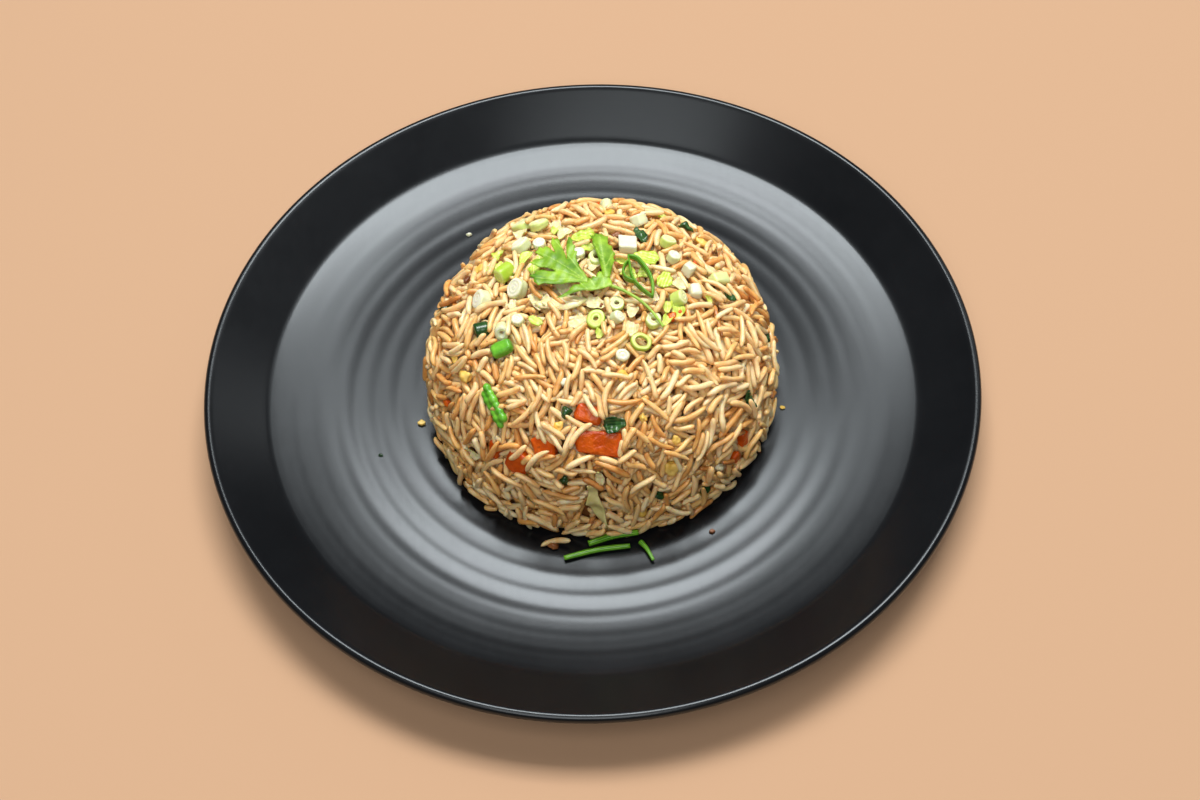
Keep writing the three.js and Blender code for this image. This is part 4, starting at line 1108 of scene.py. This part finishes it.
def make_pod():
    """A bright green pod with two rows of swellings, melted into one skin."""
    made = bmesh.new()
    origin, axes = dome_frame(225, 55, 1.1, 64)
    wide, deep = 5.6, 14.6
    for row in (-1, 1):
        for index in range(6):
            along = (index / 5 - 0.5) * (deep - 3.0) + (0.9 if row > 0 else -0.4)
            size = wide * (0.27 + 0.03 * math.sin(index * 2.3 + row))
            centre = Vector(placed([[row * wide * 0.2, along, 0.2 * row]], origin, axes)[0] * MM)
            turn = Matrix(axes.tolist()).to_4x4() @ Matrix.Diagonal((1, 1.15, 0.95, 1))
            matrix = Matrix.Translation(centre) @ turn
            bmesh.ops.create_icosphere(made, subdivisions=3, radius=size * MM, matrix=matrix)
    mesh = bpy.data.meshes.new("green_pod")
    made.to_mesh(mesh)
    made.free()
    piece = new_object("green_pod", mesh)
    remesh = piece.modifiers.new("melt", "REMESH")
    remesh.mode = "VOXEL"
    remesh.voxel_size = 0.28 * MM
    smooth = piece.modifiers.new("soft", "SMOOTH")
    smooth.factor = 0.6
    smooth.iterations = 3
    bpy.context.view_layer.update()
    melted = piece.evaluated_get(bpy.context.evaluated_depsgraph_get())
    final = bpy.data.meshes.new_from_object(melted)
    piece.modifiers.clear()
    piece.data = final
    final.shade_smooth()
    return piece


# Small bits: kind, bearing, arc, size
BITS = [
    ("egg", 206, 56, 4.6), ("egg", 282, 34.5, 3.8), ("egg", 292, 71, 5), ("egg", 155, 47, 4.4),
    ("dark", 254, 47, 3.8), ("red", 22, 37.6, 2.8), ("red", 89, 52.4, 3), ("dark", 168, 63, 3.8),
    ("dark", 357, 69, 3.8), ("dark", 120, 54, 4), ("egg", 281, 88, 5), ("dark", 304, 91, 4),
    ("dark", 287, 82, 3.6), ("dark", 256, 72, 3.6),
    ("egg", 252, 52, 3.2), ("egg", 286, 49.7, 2.6), ("egg", 296, 61, 3), ("egg", 83, 40.4, 4.2),
    ("egg", 37, 48.9, 4.2), ("egg", 196, 57, 3), ("red", 343, 29.6, 2.6), ("red", 336, 27, 3),
    ("red", 204, 71.5, 3), ("brown", 275, 6.5, 1.8), ("brown", 75, 27, 3.2), ("brown", 290, 91, 4),
    ("white", 299, 92, 3.6), ("white", 310, 84, 3.4), ("white", 250, 37, 2.8), ("brown", 160, 52, 3),
]

# Small leafy scraps: kind, bearing, arc, width, depth, spin
SMALL_SCRAPS = [
    ("lime", 343, 24, 5.2, 3.6, 20), ("lime", 270, 18, 4, 3.2, 60), ("lime", 58, 15, 5, 3.6, 0),
    ("lime", 357, 38, 4, 2.4, 30), ("lime", 60, 47.5, 4, 3, 10), ("lime", 143, 25, 5, 3.4, 40),
    ("pale", 122, 16, 5, 4, 0), ("pale", 192, 18, 6, 4, 20), ("pale", 350, 19, 4, 3, 50),
    ("dark", 166, 66, 4, 3, 80), ("lime", 155, 38.5, 4.6, 3, 0), ("pale", 130, 42.5, 6, 4.4, 30),
    ("pale", 223, 78, 7, 3, 15), ("dark", 40, 60, 4.6, 2.6, 60), ("lime", 22, 17, 5, 3.4, 70),
    ("pale", 268, 69, 3, 6, 10), ("dark", 100, 62, 4, 3, 0), ("lime", 115, 33, 4.6, 3.2, 20),
    ("pale", 112, 30, 6.5, 4.6, 20), ("pale", 113, 36.5, 6, 4.2, 70), ("lime", 147, 42, 5.5, 3.6, 10),
    ("lime", 153, 24.5, 5.5, 4, 30), ("pale", 187, 21.5, 8, 4.6, 10), ("pale", 95, 11.5, 6, 4.6, 40),
    ("pale", 5, 27.5, 5.5, 4, 60), ("lime", 342, 28, 6, 4.4, 20), ("lime", 331, 26, 4.5, 3.2, 0),
    ("pale", 256, 6, 7, 5, 0), ("pale", 320, 14.5, 5, 4, 30), ("pale", 303, 19.5, 6, 4.4, 50),
    ("lime", 61, 50.5, 3.5, 2.4, 0), ("pale", 173, 12, 8, 5, 20), ("pale", 357, 14, 6.5, 4.6, 80),
    ("lime", 32, 12.5, 6, 4.4, 30), ("pale", 147, 17.5, 6.5, 4.6, 10), ("lime", 157, 41, 4.6, 3.2, 40),
    ("pale", 186, 29.5, 4.6, 3.6, 0), ("pale", 240, 15.5, 6, 4.4, 60), ("lime", 100, 19.5, 6, 4.4, 0),
]


def bit_mesh(place, size, seed):
    rng = np.random.default_rng(seed)
    points, faces = ball_mesh(3)
    phase = rng.uniform(0, 6, 6)
    lump = 1 + 0.22 * np.sin(points[:, 0] * 3 + phase[0]) * np.sin(points[:, 1] * 3 + phase[1])
    lump += 0.14 * np.sin(points[:, 2] * 5 + phase[2]) + 0.08 * np.sin(points[:, 0] * 8 + phase[3])
    points = points * lump[:, None] * np.array([0.58, 0.45, 0.36]) * size
    return placed(points, *place), faces, {"tone": np.full(len(points), rng.uniform())}


# Crumbs on the plate: kind, place in plan, size
CRUMBS = [
    ("white", -46, 75, 1.7), ("egg", -62.5, -13, 2.2), ("brown", -15.5, -66.5, 3.0), ("dark", -77, -26, 1.3),
    ("brown", 40, -63, 1.6), ("egg", 69, -12, 1.5),
]


PEPPER_COUNT = 170


# Everything in place


def set_down(name, mesh, place, material, node):
    """Makes a piece of a mesh that is set at a place, and finishes it."""
    points, faces, values = mesh
    finish_piece(new_piece(name, placed(points, *place), faces, values), material, node)


def build_food():
    """Puts the toppings down, and gives the finishes that the heap's own bits share."""
    looks = {
        "white": onion_material("onion_white", 0.5, (224, 224, 190), (238, 236, 214), (212, 219, 164)),
        "pale": onion_material("onion_pale", 0.45, (216, 224, 146), (230, 234, 184), (196, 214, 108)),
        "lime": onion_material("onion_lime", 0.4, (200, 218, 92), (218, 230, 140), (166, 200, 46)),
        "green": mottled("bright_green", (70, 150, 30), (128, 200, 62), 0.28, 0.15),
        "dark": mottled("dark_green", (18, 44, 20), (44, 84, 36), 0.22, 0.05),
        "carrot": carrot_material(),
    }
    sheets = {
        "lime": leafy("onion_leafy", (158, 192, 36), (208, 224, 92), (232, 238, 150), 0.3, 0.3),
        "dark": leafy("dark_leafy", (20, 50, 24), (50, 92, 44), (80, 120, 62), 0.22, 0.05),
        "pale": leafy("onion_petal", (214, 204, 144), (230, 220, 170), (238, 230, 188), 0.24, 0.55),
    }
    for index, (kind, *place, across, thick, hole, spin, lean) in enumerate(SLICES):
        mesh = slice_mesh(across, thick, hole, 300 + index)
        set_down(f"onion_round_{index + 1}", mesh, dome_frame(*place, spin, lean), looks[kind],
                 f"onion_slice_{index + 1}")
    rounding = {"green": 0.46, "carrot": 0.34}
    for index, (node, kind, *place, wide, deep, tall, spin, lean) in enumerate(BLOCKS):
        mesh = block_mesh(wide, deep, tall, 500 + index, rounding.get(kind, 0.3))
        set_down(node + "_cut", mesh, dome_frame(*place, spin, lean), looks[kind], node)
    for index, (node, kind, *place, wide, deep, spin, cup, thin) in enumerate(SCRAPS):
        mesh = scrap_mesh(wide, deep, cup, thin, 700 + index)
        set_down(node + "_sheet", mesh, dome_frame(*place, spin), sheets[kind], node)
    set_down("bean_1_cut", slice_mesh(5.4, 5, 0, 900), dome_frame(194, 42.4, 1, 0, 60), looks["dark"],
             "bean_1")
    finish_piece(make_pod(), looks["green"], "bean_pod")

    petal = draped(PETAL_OUTLINE, 0.8, 1, lambda x, y: 0.35 * np.sin(0.5 * x) - 0.05 * (y + 5) ** 2)
    finish_piece(new_piece("onion_petal_sheet", *petal), sheets["pale"], "onion_petal")

    def wilted(x, y):
        return 0.5 * np.sin(0.8 * y) + 0.12 * x * x - 0.012 * y * y

    cabbage = leafy("cooked_cabbage", (206, 190, 112), (232, 222, 156), (244, 236, 184), 0.3, 0.3)
    strip = sheet_mesh(CABBAGE_OUTLINE, 0.6, wilted, 0.9)
    set_down("cabbage_sheet", strip, dome_frame(266, 82, 0.4, -6), cabbage, "cabbage_strip")

    leaf = leafy("coriander_leaf", (84, 132, 18), (160, 200, 54), (184, 214, 100), 0.42, 0.2,
                 180, 0.7, (700, 0.00012, 0.5))
    finish_piece(make_sprig(), leaf, "coriander_sprig")
    curl = chive_material("curl_green", (56, 122, 12), (134, 188, 52))
    finish_piece(make_curl(), curl, "onion_curl")
    chive = chive_material("chive_green", (44, 112, 8), (134, 196, 48))
    for name, *rest in CHIVES:
        finish_piece(make_chive(name, *rest), chive, name)
    return looks, sheets


def build_rice(looks, sheets):
    pile = make_rice()
    for index, (grains, kind) in enumerate(zip(share_out(pile.laid, 5), RICE_KINDS)):
        piece = new_piece(kind[0], *grain_parts(grains, 60 + index))
        finish_piece(piece, rice_material(*kind), "rice_heap")
    # The core's dark brown is painted shade, seen in the gaps between the grains
    gaps = mottled("rice_gap_painted_shade", (112, 66, 26), (160, 104, 50), 0.7, 0, rough=0.5,
                   bump=(500, 0.0006, 0.8))
    finish_piece(make_core(), gaps, "rice_heap")
    egg = mottled("cooked_egg", (226, 178, 62), (246, 214, 120), 0.45, 0.2, 400, 0.5,
                  glow=(1.0, 0.7, 0.2), bump=(900, 0.0003, 0.6))
    brown = mottled("fried_brown", (92, 48, 20), (150, 92, 44), 0.4, 0.05)
    bits = {
        "egg": (egg, "rice"), "dark": (looks["dark"], "dark_green"), "red": (looks["carrot"], "carrot"),
        "brown": (brown, "rice"), "white": (looks["white"], "white_onion"),
    }
    for kind, (material, slot) in bits.items():
        parts = [bit_mesh(dome_frame(bearing, arc, 0.2, bearing), size, 40 + index)
                 for index, (own, bearing, arc, size) in enumerate(BITS) if own == kind]
        for index, (own, x, y, size) in enumerate(CRUMBS):
            if own == kind:
                origin = np.array([x, y, plate_top(math.hypot(x, y)) + size * 0.3])
                parts.append(bit_mesh((origin, np.eye(3)), size, 90 + index))
        finish_piece(new_piece(f"{kind}_bits", *joined(parts)), material, "rice_heap")
    for kind, material in sheets.items():
        parts = []
        for index, (own, bearing, arc, wide, deep, spin) in enumerate(SMALL_SCRAPS):
            if own == kind:
                points, faces, values = scrap_mesh(wide, deep, 1.2, 0.5, 800 + index)
                parts.append((placed(points, *dome_frame(bearing, arc, 1, spin)), faces, values))
        finish_piece(new_piece(f"{kind}_scraps", *joined(parts)), material, "rice_heap")
    finish_piece(make_pepper(pile.laid), brown, "rice_heap")


def make_pepper(laid):
    """Specks of ground pepper on the outer grains."""
    rng = np.random.default_rng(8)
    ball, faces = ball_mesh(1)
    middle = np.array([DOME_X, 0, FLOOR_Z + 8])
    outer = laid[len(laid) // 3:]
    parts = []
    for index in rng.choice(len(outer), PEPPER_COUNT):
        origin, axes, length, width, bend = outer[index]
        share = rng.uniform(-0.6, 0.6)
        centre = origin + axes[:, 0] * share * length / 2 - axes[:, 2] * bend * share ** 2
        away = centre - middle
        centre = spilled(centre[None, :])[0] + away / np.linalg.norm(away) * width * BEAD_SHARE
        size = rng.uniform(0.14, 0.34, 3)
        points = ball * size * (1 + 0.3 * np.sin(ball[:, :1] * 5 + index))
        parts.append((points + centre, faces, {}))
    return new_piece("pepper_specks", *joined(parts))


# Floor, lights and camera

FLOOR_COLOUR = srgb(188, 152, 121)
FLOOR_REACH = 4000


def add_floor():
    made = Nodes("pale_floor")
    cloud = made.noise(3, 2)
    darker = tuple(0.985 * part for part in FLOOR_COLOUR)
    colour = made.ramp(cloud, [(0.0, FLOOR_COLOUR), (1.0, darker)])
    made.set(Base_Color=colour, Roughness=0.9, Specular_IOR_Level=0.1)
    points = [(x * FLOOR_REACH, y * FLOOR_REACH, 0) for x, y in ((-1, -1), (1, -1), (1, 1), (-1, 1))]
    floor = new_piece("floor", points, [(0, 1, 2, 3)])
    floor.data.materials.append(made.material)


def add_light(name, place, aim, size, power, colour):
    data = bpy.data.lights.new(name, "AREA")
    data.shape = "RECTANGLE"
    data.size, data.size_y = size
    data.energy = power
    data.color = colour
    light = new_object(name, data)
    light.location = place
    light.rotation_euler = (Vector(aim) - Vector(place)).to_track_quat("-Z", "Y").to_euler()


COOL = (0.98, 0.99, 1.0)
WHITE = (1, 1, 1)
# Soft panels: name, place and aim in metres, size, power and colour
LIGHTS = [
    ("soft_back", (0.14, 0.86, 2.25), (0, 0.02, 0), (1.5, 0.74), 66, COOL),
    ("soft_wide", (0.16, 1.0, 2.3), (0, 0.02, 0), (2.3, 1.6), 14, COOL),
    ("soft_front", (-0.15, -1.05, 1.3), (0, 0, 0.02), (0.8, 0.5), 7, WHITE),
    ("soft_top", (-0.2, -0.65, 1.8), (0, 0, 0.02), (1.2, 0.6), 7, WHITE),
    ("soft_side", (1.6, 1.35, 1.15), (0, 0, 0), (1.0, 0.7), 2.2, WHITE),
]
ROOM_LIGHT = 0.05


def add_lights():
    for light in LIGHTS:
        add_light(*light)
    world = bpy.data.worlds.new("soft_room")
    world.use_nodes = True
    background = world.node_tree.nodes["Background"]
    background.inputs["Color"].default_value = (1, 1, 1, 1)
    background.inputs["Strength"].default_value = ROOM_LIGHT
    bpy.context.scene.world = world
    bpy.context.scene.view_settings.view_transform = "Standard"


def add_camera():
    tilt, roll = CAMERA_ELEVATION, CAMERA_ROLL
    forward = Vector((0, math.cos(tilt), -math.sin(tilt)))
    right = Vector((1, 0, 0))
    up = right.cross(forward)
    turned_right = right * math.cos(roll) + up * math.sin(roll)
    turned_up = up * math.cos(roll) - right * math.sin(roll)
    place = Vector((CAMERA_AIM[0], CAMERA_AIM[1], 0)) - forward * CAMERA_DISTANCE
    data = bpy.data.cameras.new("camera")
    data.sensor_width = SENSOR_MM
    data.lens = FOCAL_PIXELS / IMAGE_WIDTH * SENSOR_MM
    data.clip_end = 50
    camera = new_object("camera", data)
    matrix = Matrix((turned_right, turned_up, -forward)).transposed().to_4x4()
    matrix.translation = place * MM
    camera.matrix_world = matrix
    bpy.context.scene.camera = camera


finish_piece(make_plate(), plate_material(), "plate")
build_rice(*build_food())
add_floor()
add_lights()
add_camera()
